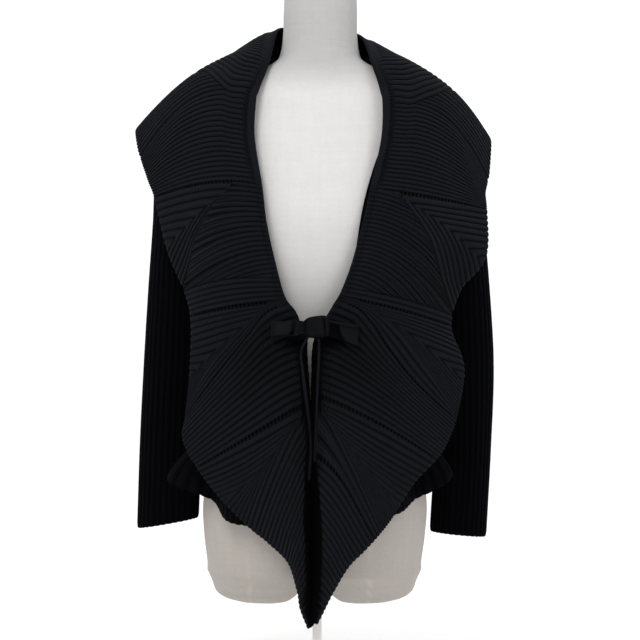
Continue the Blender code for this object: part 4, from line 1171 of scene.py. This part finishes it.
# Soft troughs (positive depth) and ridges of the collar, from one place to another as along and
# across, with half width and depth in millimetres.
Crease = namedtuple("Crease", "along across to_along to_across half_width depth")
CREASES = {
    RIGHT: (
        (7.4, 0.75, 9.6, 1.02, 12, 2.0),
        (5.2, 0.55, 6.4, 0.95, 15, -1.6),
        (2.2, 0.35, 3.6, 0.80, 20, 2.2),
        (0.9, 0.45, 1.6, 0.98, 24, -2.6),
        (10.6, 0.35, 12.4, 0.80, 14, 1.5),
        (12.6, 0.45, 13.6, 0.95, 15, -1.6),
        (14.2, 0.30, 15.6, 0.90, 13, 1.4),
        (5.15, 0.22, 5.2, 1.1, 4, 1.7),
        (5.05, 0.22, 3.9, 0.60, 4, 1.5),
    ),
    LEFT: (
        (7.6, 0.70, 9.2, 1.02, 13, 2.4),
        (5.0, 0.50, 6.3, 0.95, 15, -1.8),
        (2.4, 0.40, 3.5, 0.85, 20, 2.0),
        (1.0, 0.50, 1.9, 0.98, 22, -2.2),
        (10.7, 0.35, 12.2, 0.85, 14, 1.6),
        (12.5, 0.50, 13.7, 0.95, 15, -1.5),
        (14.3, 0.35, 15.5, 0.92, 13, 1.4),
        (5.2, 0.22, 5.2, 1.1, 4, 1.7),
        (5.15, 0.22, 4.0, 0.62, 4, 1.5),
        (7.35, 0.36, 8.9, 0.98, 11, 2.4),
    ),
}
ALONG_SCALE = 48 * MM          # typical length of one section step, for measuring creases
ACROSS_SCALE = 165 * MM


def crease_depth(side, along, across):
    """How far the collar's soft creases press it in."""
    depth = np.zeros(np.shape(along))
    place = np.stack([along * ALONG_SCALE, across * ACROSS_SCALE], axis=-1)
    scale = np.array((ALONG_SCALE, ACROSS_SCALE))
    for crease in (Crease(*row) for row in CREASES[side]):
        start = np.array((crease.along, crease.across)) * scale
        run = np.array((crease.to_along, crease.to_across)) * scale - start
        share = np.clip(((place - start) @ run) / (run @ run), 0, 1)
        away = np.linalg.norm(place - start - share[..., None] * run, axis=-1)
        ends = 0.45 + 0.55 * np.sin(math.pi * np.clip(share, 0.02, 0.98))
        depth += crease.depth * MM * ends * bell(away, crease.half_width * MM)
    return depth * smoothstep(across / 0.2)


ARC_ALONG = np.linspace(0, COLLAR_PLACES[-1], 421)
ARC_ACROSS = np.linspace(0, 1, 21)
Column = namedtuple("Column", "numbers along across base")


def rib_heights(phase, along, from_band):
    """A column's rib profile, its height with the changes near the band, and how smooth it is."""
    profile = rib_profile(np.full(len(along), phase))
    doubles = rib_profile(np.full(len(along), phase * 2)) * 0.6
    doubled = 1 - smoothstep((from_band - FINE_RIBS[0]) / FINE_RIBS[1])
    doubled = doubled * smoothstep((DOUBLED_END - along) / 0.3)
    height = profile * (1 - doubled) + doubles * doubled
    smooth = smoothstep((SMOOTH_END - along) / 2.5) \
        * (1 - smoothstep((from_band - SMOOTH_RIBS[0]) / SMOOTH_RIBS[1]))
    return profile, height * (1 - smooth), smooth


def bent_path(start, end, last):
    """Path of a rib that bends down to where it ends, short of the outer edge."""
    return lambda across: start + (end - start) * np.clip(across / last, 0, 1) ** ENDING_POWER


class CollarFace:
    """One face of a collar: columns of points that follow its rib lines."""

    def __init__(self, shell, side, per_rib, row_step, outside):
        self.shell = shell
        self.side = side
        self.per_rib = per_rib
        self.row_step = row_step
        self.outside = outside
        self.neck_rim = []
        self.outer_rim = []
        self.neck_marks = []
        self.steps = 0.0
        grid = collar_point(side, ARC_ALONG[None], ARC_ACROSS[:, None])
        steps = np.linalg.norm(np.diff(grid, axis=1), axis=-1)
        self.arcs = np.pad(np.cumsum(steps, axis=1), ((0, 0), (1, 0)))

    def arc_row(self, across):
        """Distance along the collar at one place across it, for each of ARC_ALONG."""
        spot = across * (len(ARC_ACROSS) - 1)
        low = min(int(spot), len(ARC_ACROSS) - 2)
        return self.arcs[low] + (spot - low) * (self.arcs[low + 1] - self.arcs[low])

    def between(self, first, last, share, across):
        """Place along that lies a share of the way from one line to another, by distance."""
        places = np.empty(len(across))
        shares = np.broadcast_to(share, len(across))
        for spot, (one, other, place, part) in enumerate(zip(first, last, across, shares)):
            row = self.arc_row(place)
            start, end = np.interp((one, other), ARC_ALONG, row)
            places[spot] = np.interp(start + (end - start) * part, row, ARC_ALONG)
        return places

    def edge_place(self, first, last, share):
        """The same at the outer edge, for one rib."""
        return float(self.between([first], [last], share, np.array([1.0]))[0])

    def places_across(self, start, along, line):
        """Places across the collar for a column's points, closer together at the outer edge."""
        breadth = float(collar_breadth(self.side, along))
        step = LINE_ROW if line else self.row_step
        count = max(2, int((1 - start) * breadth / step) + 1)
        across = np.linspace(start, 1, count)
        edge = 1 - np.array(EDGE_ROWS) * MM / breadth
        edge = edge[edge > start + 1.5 * MM / breadth]
        if len(edge):
            across = np.concatenate([across[across < edge[0] - 1 * MM / breadth], edge, [1.0]])
        return np.unique(across)

    def column(self, path, start, phase, beside=None, shared=None, line=None, fine=False,
               last=None):
        """Adds the points down one rib line from a start across the collar to its outer edge.

        beside is the column before it, shared is the first point that it shares with others,
        and line is a pair: how near an eyelet line is, and the distance along that line.
        """
        middle = path(np.array([(1 + start) / 2]))[0]
        across = self.places_across(start, middle, line or fine)
        if shared is not None:
            across = across[across > start + 1e-6]
        if last is not None:
            across = across[across < last - 0.5 * MM / float(collar_breadth(self.side, middle))]
        along = path(across)
        margin = band_share(self.side, along)
        place = margin + (1 - margin) * across
        folded = fold_share(along, place)
        flat = collar_point(self.side, along, place)
        normal = collar_normal(self.side, along, place)
        flat = flat - normal * crease_depth(self.side, along, place)[:, None]
        breadths = collar_breadth(self.side, along)
        to_edge = (1 - across) * breadths
        pitch = self.pitch(across, flat, beside)
        profile, height, smooth = rib_heights(phase, along, across * breadths)
        round_off = rounded(to_edge, *COLLAR_ROUNDING)
        rise = np.minimum(COLLAR_RIB_RISE, 0.3 * pitch) * height * round_off
        rise = rise * (1 - FOLD_FLAT * folded)
        # crest is painted light: rib valleys darker than tops, darker towards the outer edge, and
        # painted shade in the deep fold
        crest = (height + 0.75 * smooth) * (0.55 + 0.45 * round_off)
        crest = crest * (1 - folded)
        if line is not None:
            rise, crest = self.eyelets(rise, crest, across, to_edge, *line)
        if not self.outside:
            rise = 0.6 * MM * profile - COLLAR_WALL
            standing = smoothstep((4.5 - along) / 1.5)
            # the inner face is painted darker as shade, except the standing collar behind the neck
            crest = 0.5 * profile * (1 - standing) + standing
        outward = unit(collar_point(self.side, along, place + NEAR_FACE)
                       - collar_point(self.side, along, place - NEAR_FACE))
        push = smoothstep((EDGE_ROLL - to_edge) / EDGE_ROLL) * (0.4 + 1.5 * profile) * MM
        points = flat + normal * (COLLAR_WALL + rise)[:, None] + outward * push[:, None]
        shade = np.maximum(FOLD_SHADE * folded, BOW_SHADE * under_bow(along, place))
        shade = np.maximum(shade, close_shade(flat))
        ribs = rib_values(self.steps + phase, lengths_along(flat), shade)
        column = Column(self.shell.add(points, ribs, crest), along, across, flat)
        return column if shared is None else joined(first_point(shared), column)

    def eyelets(self, rise, crest, across, to_edge, nearness, distance):
        """Presses the holes of an eyelet line in and paints shade into them, and raises the bars
        between them and paints them lighter.
        """
        spot = distance(across)
        beat = np.abs((spot / EYELET_STEP) % 1 - 0.5) * 2
        inside = smoothstep((spot - EYELET_MARGIN) / (4 * MM)) * smoothstep(to_edge / EYELET_MARGIN)
        away = np.hypot(nearness, (1 - beat) * EYELET_STEP / 2)
        hole = bell(away, EYELET_RADIUS, 4) * inside
        bar = bell(nearness, BAR_BREADTH) * smoothstep(1.6 * (0.62 - beat)) * inside
        rise = np.maximum(rise, 0.85 * MM * bar) - EYELET_DEPTH * hole
        return rise, np.clip(np.maximum(crest, 0.8 * bar) - 1.2 * hole, 0, 1)

    def pitch(self, across, flat, beside):
        """Distance between neighbouring ribs at each point of a new column."""
        if beside is None or len(beside.across) < 2:
            return np.full(len(across), 0.3)
        other = np.stack([np.interp(across, beside.across, beside.base[:, axis])
                          for axis in range(3)], axis=-1)
        if len(flat) > 1:
            tangent = unit(np.gradient(flat, axis=0))
        else:
            tangent = unit(flat - beside.base[-2])
        apart = flat - other
        apart = apart - tangent * (apart * tangent).sum(axis=-1, keepdims=True)
        return np.linalg.norm(apart, axis=-1) * self.per_rib

    def join(self, first, second):
        self.shell.zip(first.numbers, first.across, second.numbers, second.across)

    def mark_neck(self, column, ribs):
        """Notes where a column starts at the neck edge, and how many ribs lie before it."""
        self.neck_rim.append(column.numbers[0])
        self.neck_marks.append((column.along[0], self.steps + ribs))

    def near_line(self, step, distance):
        """The line argument of a column that lies some steps from an eyelet line."""
        away = step / self.per_rib * RIB_PITCH
        if not self.outside or distance is None or away > EYELET_REACH:
            return None
        return away, distance

    def gore(self, gore, line, first_path, distance):
        """Short ribs on both sides of a gore's mitre; returns the column at its foot.

        The ribs beside the plain line run alongside it, and those beyond the mitre turn away.
        """
        count = self.per_rib * gore.ribs
        rows = np.array(gore.mitre)
        share = np.linspace(0, 1, count + 1)
        mitre_across, mitre_along = spline(np.linspace(0, 1, len(rows)), rows, share).T
        tip = mitre_along[-1]
        split = int(np.argmin(np.abs(line.across - mitre_across[0])))
        upper = part_of(line, split)
        apex = first_point(upper)
        mitre_across[0], mitre_along[0] = apex.across[0], apex.along[0]
        turn = gore.turn[0] + (gore.turn[1] - gore.turn[0]) * share

        def beside_path(step, end):
            start, place = mitre_along[step], mitre_across[step]
            first_off = start - first_path(np.array([place]))[0]
            last_off = end - first_path(np.array([1.0]))[0]

            def path(across):
                pull = (across - place) / max(1 - place, 1e-6)
                return first_path(across) + first_off + (last_off - first_off) * pull
            return path

        def turning_path(step, end):
            start, place = mitre_along[step], mitre_across[step]

            def path(across):
                pull = np.clip((across - place) / max(1 - place, 1e-6), 0, 1)
                return start + (end - start) * pull ** turn[step]
            return path

        starts = [apex]
        for step in range(1, count + 1):
            path = beside_path(step, self.edge_place(line.along[-1], tip, share[step]))
            column = self.column(path, mitre_across[step], step / self.per_rib, upper,
                                 line=self.near_line(step, distance))
            self.join(upper, joined(starts[-1], column))
            upper = column
            starts.append(first_point(column))
            self.outer_rim.append(column.numbers[-1])
        self.steps += gore.ribs
        lower = starts[count]
        for step in range(count - 1, -1, -1):
            path = turning_path(step, self.edge_place(tip, gore.foot, 1 - share[step]))
            beside = joined(starts[step], lower)
            column = self.column(path, mitre_across[step], step / self.per_rib, beside,
                                 shared=starts[step])
            self.join(beside, column)
            lower = column
            self.outer_rim.append(column.numbers[-1])
        self.steps += gore.ribs
        return joined(part_of(line, 0, split), lower)

    def fan(self, fan, line):
        """Short ribs that start on a slanting line; returns the column at the fan's foot."""
        count = self.per_rib * fan.ribs
        tip = line.along[-1]
        starts = np.searchsorted(line.across, np.linspace(fan.start, 1, count + 1) - 1e-6)
        starts[-1] = len(line.across) - 1
        lower = part_of(line, starts[-1])
        for step in range(count - 1, -1, -1):
            spot = starts[step]
            start, place = line.along[spot], line.across[spot]
            end = self.edge_place(tip, fan.foot, 1 - step / count)

            def path(across, start=start, place=place, end=end):
                return start + (end - start) * (across - place) / max(1 - place, 1e-6)

            beside = joined(part_of(line, spot, starts[step + 1]), lower)
            column = self.column(path, place, step / self.per_rib, beside,
                                 shared=part_of(line, spot, spot + 1))
            self.join(beside, column)
            lower = column
            self.outer_rim.append(column.numbers[-1])
        self.steps += fan.ribs
        return joined(part_of(line, 0, starts[0]), lower)

    def ending_ribs(self, wedge, line):
        """Ribs that run from the neck edge and end on the foot of the gore above them."""
        count = self.per_rib * wedge.gore.ending
        top, bottom = line.along[0], wedge.line.rows[0][1]
        apex = int(np.searchsorted(line.across, wedge.gore.mitre[0][0] - 0.02))
        ends = np.linspace(line.across[apex], 1, count + 1)
        ends = np.minimum(np.searchsorted(line.across, ends - 1e-6), len(line.across) - 1)
        upper = part_of(line, 0, ends[0] + 1)
        for step in range(1, count + 1):
            spot = ends[step]
            last, end = line.across[spot], line.along[spot]
            start = self.between([top], [bottom], step / self.per_rib / wedge.ribs,
                                 np.array([0.0]))[0]
            beside = joined(upper, part_of(line, ends[step - 1] + 1, spot + 1))
            column = self.column(bent_path(start, end, last), 0.0, step / self.per_rib, beside,
                                 last=last - 1e-6)
            column = joined(column, part_of(line, spot, spot + 1))
            self.join(beside, column)
            self.mark_neck(column, step / self.per_rib)
            upper = column
        self.steps += wedge.gore.ending
        return upper

    def closing_ribs(self, wedge, line, top):
        """Ribs that run from the neck edge and end on a line below them; returns that line."""
        gore = wedge.gore
        count = self.per_rib * gore.closing
        bottom = wedge.line.rows[0][1]

        def neck_place(ribs):
            return self.between([top], [bottom], (gore.ending + ribs) / wedge.ribs,
                                np.array([0.0]))[0]

        foot_start = neck_place(gore.closing)
        foot = self.column(lambda across: foot_start + (gore.closing_place - foot_start) * across,
                           0.0, gore.closing, line)
        ends = np.searchsorted(foot.across, np.linspace(1, CLOSING_END, count + 1) - 1e-6)
        upper = line
        previous = len(foot.across) - 1
        for step in range(1, count):
            spot = min(ends[step], previous)
            last = foot.across[spot]
            path = bent_path(neck_place(step / self.per_rib), foot.along[spot], last)
            column = self.column(path, 0.0, step / self.per_rib, upper, last=last - 1e-6)
            self.join(upper, joined(column, part_of(foot, spot, previous + 1)))
            self.mark_neck(column, step / self.per_rib)
            upper = joined(column, part_of(foot, spot, spot + 1))
            previous = spot
        self.join(upper, part_of(foot, 0, previous + 1))
        self.mark_neck(foot, gore.closing)
        self.outer_rim.append(foot.numbers[-1])
        self.steps += gore.closing
        return foot

    def plain_ribs(self, wedge, line, last_path, start_distance, end_distance):
        """Full-length ribs from one line to the next, evenly spaced between them."""
        ribs = wedge.ribs - (wedge.gore.ending + wedge.gore.closing if wedge.gore else 0)
        count = self.per_rib * ribs
        first = line
        for step in range(1, count + 1):
            def path(across, share=step / count):
                start = np.interp(across, first.across, first.along)
                return self.between(start, last_path(across), share, across)

            near = None if wedge.gore else self.near_line(step, start_distance)
            near = near or self.near_line(count - step, end_distance)
            column = self.column(path, 0.0, step / self.per_rib, line, line=near,
                                 fine=bool(wedge.fan) and step == count)
            self.join(line, column)
            self.mark_neck(column, step / self.per_rib)
            self.outer_rim.append(column.numbers[-1])
            line = column
        self.steps += ribs
        return line

    def build(self):
        """The whole face, from the centre back to the tail's tip."""
        path = np.zeros_like
        line = first = self.column(path, 0.0, 0.0)
        self.mark_neck(first, 0.0)
        self.outer_rim.append(first.numbers[-1])
        distance = None
        for wedge in WEDGES[self.side]:
            if wedge.gore:
                line = self.gore(wedge.gore, line, path, distance)
                if wedge.gore.ending:
                    top = line.along[0]
                    line = self.ending_ribs(wedge, line)
                    line = self.closing_ribs(wedge, line, top)
            path = line_path(wedge.line)
            next_distance = line_distance(self.side, path) if wedge.line.eyelets else None
            line = self.plain_ribs(wedge, line, path, distance, next_distance)
            if wedge.fan:
                line = self.fan(wedge.fan, line)
            distance = next_distance
        return first, line


def part_of(column, start, end=None):
    """Some of a column's points, as a column."""
    return Column(*[part[start:end] for part in column])


def first_point(column):
    """The first point of a column, as a column."""
    return part_of(column, 0, 1)


def joined(first, second):
    """Two columns, one after the other."""
    return Column(*[np.concatenate(parts) for parts in zip(first, second)])


def line_path(line):
    """Place along the collar of a line, as a function of the place across."""
    places_across, places_along = np.array(line.rows, float).T
    return lambda across: spline(places_across, places_along, across)


def fold_share(along, across):
    """1 in the deep fold down the middle of the tail, 0 on the collar's open face."""
    limit = np.interp(along, FOLD_ACROSS[:, 0], FOLD_ACROSS[:, 1])
    reach = 1 - smoothstep((across - limit) / (FOLD_FADE + limit / 8))
    return reach * smoothstep((along - FOLD_START[0]) / (FOLD_START[1] - FOLD_START[0]))


def under_bow(along, across):
    """1 where the collar lies under the bow and dips towards it, 0 away from it."""
    return bell(along - 12.5, 1.3) * (1 - smoothstep((across - 0.25) / 0.6))


def close_shade(points):
    """Shade right below the bow, 0 away from it."""
    middle, height, breadth, strength = CLOSE_SHADE
    away = np.abs(points[:, 0] / MM - middle)
    return strength * (1 - smoothstep((away - 38) / 14)) * bell(points[:, 2] / MM - height, breadth)


def line_distance(side, path):
    """Distance along an eyelet line from the band, as a function of the place across."""
    across = np.linspace(0, 1, 60)
    run = lengths_along(collar_point(side, path(across), across))
    return lambda place: np.interp(place, across, run)


NECK_MARKS = {}


def build_collar(side, word):
    """One side of the wide collar, a closed ribbed shell."""
    shell = Shell()
    outer = CollarFace(shell, side, 8, 5 * MM, True)
    outer_first, outer_last = outer.build()
    NECK_MARKS[side] = np.array(outer.neck_marks)
    inner = CollarFace(shell, side, 2, 12 * MM, False)
    inner_first, inner_last = inner.build()

    def rim(outer_rim, inner_rim):
        shell.zip(outer_rim, np.linspace(0, 1, len(outer_rim)), inner_rim,
                  np.linspace(0, 1, len(inner_rim)))

    rim(outer.neck_rim, inner.neck_rim)
    rim(outer.outer_rim, inner.outer_rim)
    for one, other in ((outer_first, inner_first), (outer_last, inner_last)):
        shell.zip(one.numbers, one.across, other.numbers, other.across)
    name = "collar_" + word
    piece = shell.build(name + "_knit", COLLAR_KNIT, "knit", name, crease=75)


for collar_side, collar_word in SIDES:
    build_collar(collar_side, collar_word)

# ---------------------------------------------------------------- neck bands
BAND_TURNS = 18
BAND_STEP = 1.3 * MM
BAND_GAP = -0.8 * MM           # the band laps over the collar's edge by this much
FINE_START = (6.7, 7.3)        # where along the band fine ribs begin to wrap it
FINE_DEPTH = 1.3 * MM


def build_band(side, word):
    """Tubular neck band: smooth over the shoulder, wrapped by fine ribs down the front."""
    fine = np.linspace(0, BAND_END, 900)
    edge = collar_point(side, fine, 0 * fine)
    knots = lengths_along(edge)
    count = int(knots[-1] / BAND_STEP)
    along = np.interp(np.linspace(0, knots[-1], count), knots, fine)
    run = np.linspace(0, knots[-1], count)
    turn = math.tau * np.arange(BAND_TURNS) / BAND_TURNS
    width = band_share(side, along) * (1 - BAND_GAP / BAND_WIDTH)
    across = (0.5 - 0.5 * np.cos(turn)) * width[:, None]
    places = np.broadcast_to(along[:, None], across.shape)
    wrapped = smoothstep((along - FINE_START[0]) / (FINE_START[1] - FINE_START[0]))[:, None]
    marks = NECK_MARKS[side]
    doubling = np.where(along < DOUBLED_END, 2, 1)
    wave = 1 - rib_profile(doubling * np.interp(along, marks[:, 0], marks[:, 1]), 0.8)[:, None]
    half = BAND_WALL / 2
    swell = np.abs(np.sin(turn)) ** 0.75 * np.sign(np.sin(turn))
    height = half + (half * 1.12 - wrapped * wave * FINE_DEPTH) * swell
    base = collar_point(side, places, across)
    normal = collar_normal(side, places, across)
    points = base + normal * height[..., None]
    shell = Shell()
    # painted shade on the standing part behind the neck and in the grooves of the fine ribs
    standing = 0.35 * (1 - smoothstep((along - 3) / 1.5))[:, None]
    shell.tube(points, rib_values(turn / math.tau * 8, run[:, None]),
               1 - standing - 0.8 * wrapped * wave)
    name = "neck_band_" + word
    piece = shell.build(name + "_knit", BAND_KNIT, "band", name)


for band_side, band_word in SIDES:
    build_band(band_side, band_word)

# ---------------------------------------------------------------- bow
BOW_MIDDLE = np.array((-0.5, -147.5, 530.0))
KNOT_SIZE = np.array((39.0, 28.0, 31.5))
KNOT_ROUNDING = 0.62
KNOT_BACK = 4
KNOT_SLOPE = 0.13              # how much the knot's top rises towards the wearer's left
TAPE_WIDTH = 25.0
TAPE_THICKNESS = 1.8
TAPE_LIP = 0.6                 # how far the tape's rounded edge stands out
Loop = namedtuple("Loop", "reach drop width_share")
LOOPS = {RIGHT: Loop(49, 4, 0.98), LEFT: Loop(46, 12, 1.12)}
LOOP_DEPTH = 12
LOOP_START = -6.0              # the loops begin inside the knot
LOOP_PINCH = 0.62
LOOP_OPEN = 0.12


def build_knot():
    """The knot: a rounded wrap of tape with its folds."""
    shell = Shell()
    rows, columns = 49, 72
    down = np.linspace(0.02, math.pi - 0.02, rows)[:, None]
    turn = math.tau * np.arange(columns)[None] / columns
    away = np.stack([np.sin(down) * np.cos(turn), np.sin(down) * np.sin(turn),
                     np.cos(down) + 0 * turn], axis=-1)
    softened = np.sign(away) * np.abs(away) ** KNOT_ROUNDING
    middle = BOW_MIDDLE + (0, KNOT_BACK, 0)
    points = softened * KNOT_SIZE / 2
    facing = np.clip(-away[..., 1], 0, 1)
    x, z = points[..., 0], points[..., 2]
    groove = bell(x - 11.5 + 0.10 * z, 1.5)
    ridge = bell(x - 15 + 0.12 * z, 1.8)
    hollow = bell(x + 16.5 - 0.016 * z * z, 2.2)
    tuck = bell(x + 3 + 0.5 * z, 3.0) * np.clip(-z / 16, 0, 1)
    folds = 1.1 * ridge - 2.4 * groove - 2.4 * hollow - 1.2 * tuck
    points = points + middle
    points[..., 1] -= folds * facing
    points[..., 2] += KNOT_SLOPE * x * np.clip(away[..., 2] + 0.3, 0, 1)
    # painted shade in the groove, the hollow, the tuck and on the knot's underside; painted
    # highlight on its front and its ridge
    dark = np.clip(groove + hollow + 0.6 * tuck, 0, 1) * facing
    dark = np.maximum(dark, smoothstep((-z - 11) / 5) * 0.9)
    lit = 0.62 + 0.16 * np.exp(-((x - 3) / 7) ** 2 - ((z - 2) / 9) ** 2) + 0.2 * ridge
    shell.tube(points * MM, crests=lit * (1 - dark))
    shell.build("bow_knot_wrap", TAPE, "tape", "bow_knot")


def strap_folds(out, up):
    """The right loop's front: a strap laid aslant beside the knot, a groove and a full pouch."""
    strap = bell(out - 7.0 + 2.6 * up, 3.6, 4)
    groove = bell(out - 13.5 + 1.6 * up, 2.2)
    eye = np.exp(-(((out - 16.0) / 2.0) ** 2 + ((up + 0.62) / 0.17) ** 2))
    pouch = smoothstep((out - 14) / 9) * smoothstep((46 - out) / 8) * (1 - up ** 4)
    press = -1.6 * strap + 1.8 * groove + 2.2 * eye - 3.2 * pouch
    # painted shade in the groove, the eye and along the pouch's lower edge; the pouch painted
    # lighter as a highlight
    dark = np.clip(0.75 * groove + eye, 0, 1)
    lower = smoothstep((-up - 0.62) / 0.2) * smoothstep((out - 14) / 4)
    plain = 0.70 + 0.30 * smoothstep((out - 14) / 6) * smoothstep((40 - out) / 6) * (1 - up ** 4)
    return press, plain * (1 - np.maximum(dark, 0.55 * lower))


def mouth_folds(out, up):
    """The left loop's front: a mouth beside the knot painted dark as shade, and the flap folded
    over its end.
    """
    edge = 13.0 + 3.0 * (up < 0) * up ** 2 - 3.5 * up
    flap = smoothstep((out - edge) / 2.2)
    below_rim = smoothstep((0.80 - up) / 0.12)
    lip = bell(out - edge - 2.0, 1.6) * below_rim
    press = 3.6 * (1 - flap) * below_rim * smoothstep((out + 2) / 6) - 0.9 * lip
    # painted shadow under the rim; the rim and the flap's lower face painted lighter as highlights
    shadow = bell(up - 0.66, 0.14) * flap
    dark = np.maximum(0.95 * (1 - flap) * below_rim, 0.5 * shadow)
    plain = 0.66 + 0.14 * flap * smoothstep((-up + 0.4) / 0.8) + 0.2 * (1 - below_rim)
    return press - 0.5 * (up > 0.8), plain * (1 - dark)


LOOP_FOLDS = {RIGHT: strap_folds, LEFT: mouth_folds}


def build_loop(side, word):
    """One loop of the bow: soft tape that leaves the knot, turns back and returns."""
    loop = LOOPS[side]
    root = BOW_MIDDLE + (side * (KNOT_SIZE[0] / 2 + LOOP_START), 0, 0)
    turn = math.pi * np.linspace(LOOP_OPEN, 2 - LOOP_OPEN, 130)
    swell = np.sin(turn / 2)
    outward = loop.reach * (1 - np.cos(turn)) / 2
    sideways = LOOP_DEPTH / 2 * np.sin(turn) * swell ** 0.4
    fall = -loop.drop * outward / loop.reach
    middles = root + np.stack([side * outward, -sideways, fall], axis=1)
    tangents = np.gradient(middles, axis=0)
    across = unit(np.stack([tangents[:, 1], -tangents[:, 0], 0 * turn], axis=1))
    fullness = LOOP_PINCH + (1 - LOOP_PINCH) * swell ** 1.5
    half_heights = TAPE_WIDTH / 2 * loop.width_share * fullness
    up = np.linspace(-1, 1, 41)
    pinch = (1 - smoothstep(outward / (0.75 * loop.reach)))[:, None]
    pleat = 1.6 * pinch * np.sin(up * 7.5 + 0.6 * side)
    pleat = pleat + 0.5 * np.sin(up * 3 + outward[:, None] / 7)
    cup = 1.2 * (1 - up ** 2) * (1 - pinch)
    front = smoothstep((1.02 - turn / math.pi) / 0.12)[:, None]
    press, crest = LOOP_FOLDS[side](outward[:, None] + LOOP_START, up)
    crest = 1 - (1 - crest) * front
    # painted shade on the inside of the loop's back layer, below its top rim
    crest = crest * (1 - 0.85 * smoothstep((turn[:, None] / math.pi - 1.1) / 0.2)
                     * smoothstep((0.86 - up) / 0.1))
    pleat = pleat * (1 - 0.6 * front)
    sheet = middles[:, None] + across[:, None] * (pleat * 0.75 - cup)[..., None]
    sheet[..., 1] += press * front
    sheet[..., 2] += half_heights[:, None] * up
    sheet[..., 2] += 0.7 * np.sin(outward / 6.5 + side)[:, None] * up ** 3
    shell = Shell()
    grids = [shell.add((sheet + across[:, None] * offset * TAPE_THICKNESS) * MM, crests=crest)
             for offset in (0.5, -0.5)]
    shell.quads(grids[0])
    shell.quads(grids[1][::-1])
    for row in (0, -1):
        shell.quads(np.stack([grids[1][row], grids[0][row]]))
    for column, lip in ((0, -TAPE_LIP), (-1, TAPE_LIP)):
        edge = shell.add((sheet[:, column] + (0, 0, lip)) * MM)
        shell.quads(np.stack([grids[0][:, column], edge, grids[1][:, column]]))
        for row in (0, -1):
            shell.faces.append((grids[0][row, column], edge[row], grids[1][row, column]))
    shell.build("bow_loop_" + word + "_tape", TAPE, "tape", "bow_loop_" + word)


build_knot()
for loop_side, loop_word in SIDES:
    build_loop(loop_side, loop_word)

# ---------------------------------------------------------------- floor, light
FLOOR_RADIUS = 40.0
FLOOR_WHITE = 0.97
ROOM_LIGHT = (0.47, 1.08)      # strength of the white room in front of the form and behind it
TOP_LIGHT = 0.5               # how much stronger it is right above


def build_floor():
    """Plain pale floor that runs out to the horizon."""
    shaped = bmesh.new()
    bmesh.ops.create_circle(shaped, cap_ends=True, segments=96, radius=FLOOR_RADIUS)
    mesh = bpy.data.meshes.new("floor")
    shaped.to_mesh(mesh)
    shaped.free()
    floor = bpy.data.objects.new("floor", mesh)
    floor.location = (0, 0, -0.0005)
    nodes = Nodes(bpy.data.materials.new("floor"))
    patch = nodes.noise(2.0)
    nodes.shade(Base_Color=nodes.mix(patch, (FLOOR_WHITE,) * 3, (FLOOR_WHITE + 0.01,) * 3),
                Roughness=1.0, Specular_IOR_Level=0.0)
    mesh.materials.append(nodes.owner)
    scene.collection.objects.link(floor)


def add_light(name, place, aim, size, power):
    """A large soft lamp turned towards a point."""
    lamp = bpy.data.lights.new(name, "AREA")
    lamp.shape = "RECTANGLE"
    lamp.size, lamp.size_y = size
    lamp.energy = power
    holder = bpy.data.objects.new(name, lamp)
    place = np.array(place, float)
    away = np.array(aim, float) - place
    holder.location = place
    flat = math.hypot(away[0], away[1])
    turn = math.atan2(away[1], away[0]) - math.pi / 2
    holder.rotation_euler = (math.atan2(flat, -away[2]), 0, turn)
    holder.visible_camera = False
    scene.collection.objects.link(holder)


def build_light():
    """White room light with soft lamps above and in front."""
    world = bpy.data.worlds.new("studio")
    nodes = Nodes(world, "Background")
    split = nodes.make("ShaderNodeSeparateXYZ")
    nodes.link(nodes.make("ShaderNodeTexCoord").outputs["Generated"], split.inputs[0])
    room = nodes.make("ShaderNodeMapRange")
    ends = zip(("Value", "From Min", "From Max", "To Min", "To Max"),
               (split.outputs["Y"], -0.5, 0.5, *ROOM_LIGHT))
    for name, value in ends:
        nodes.feed(room.inputs[name], value)
    height = nodes.math("POWER", nodes.math("MAXIMUM", split.outputs["Z"], 0.0), 1.5)
    nodes.shade(Strength=nodes.math("MULTIPLY_ADD", height, TOP_LIGHT, room.outputs["Result"]),
                Color=(1, 1, 1, 1))
    scene.world = world
    add_light("key", (-0.9, -2.0, 2.7), (0, 0, 0.65), (1.2, 1.2), 44)
    add_light("fill", (1.9, -1.9, 1.5), (0, 0, 0.6), (1.2, 1.2), 12)
    scene.view_settings.view_transform = "Standard"


build_floor()
build_light()
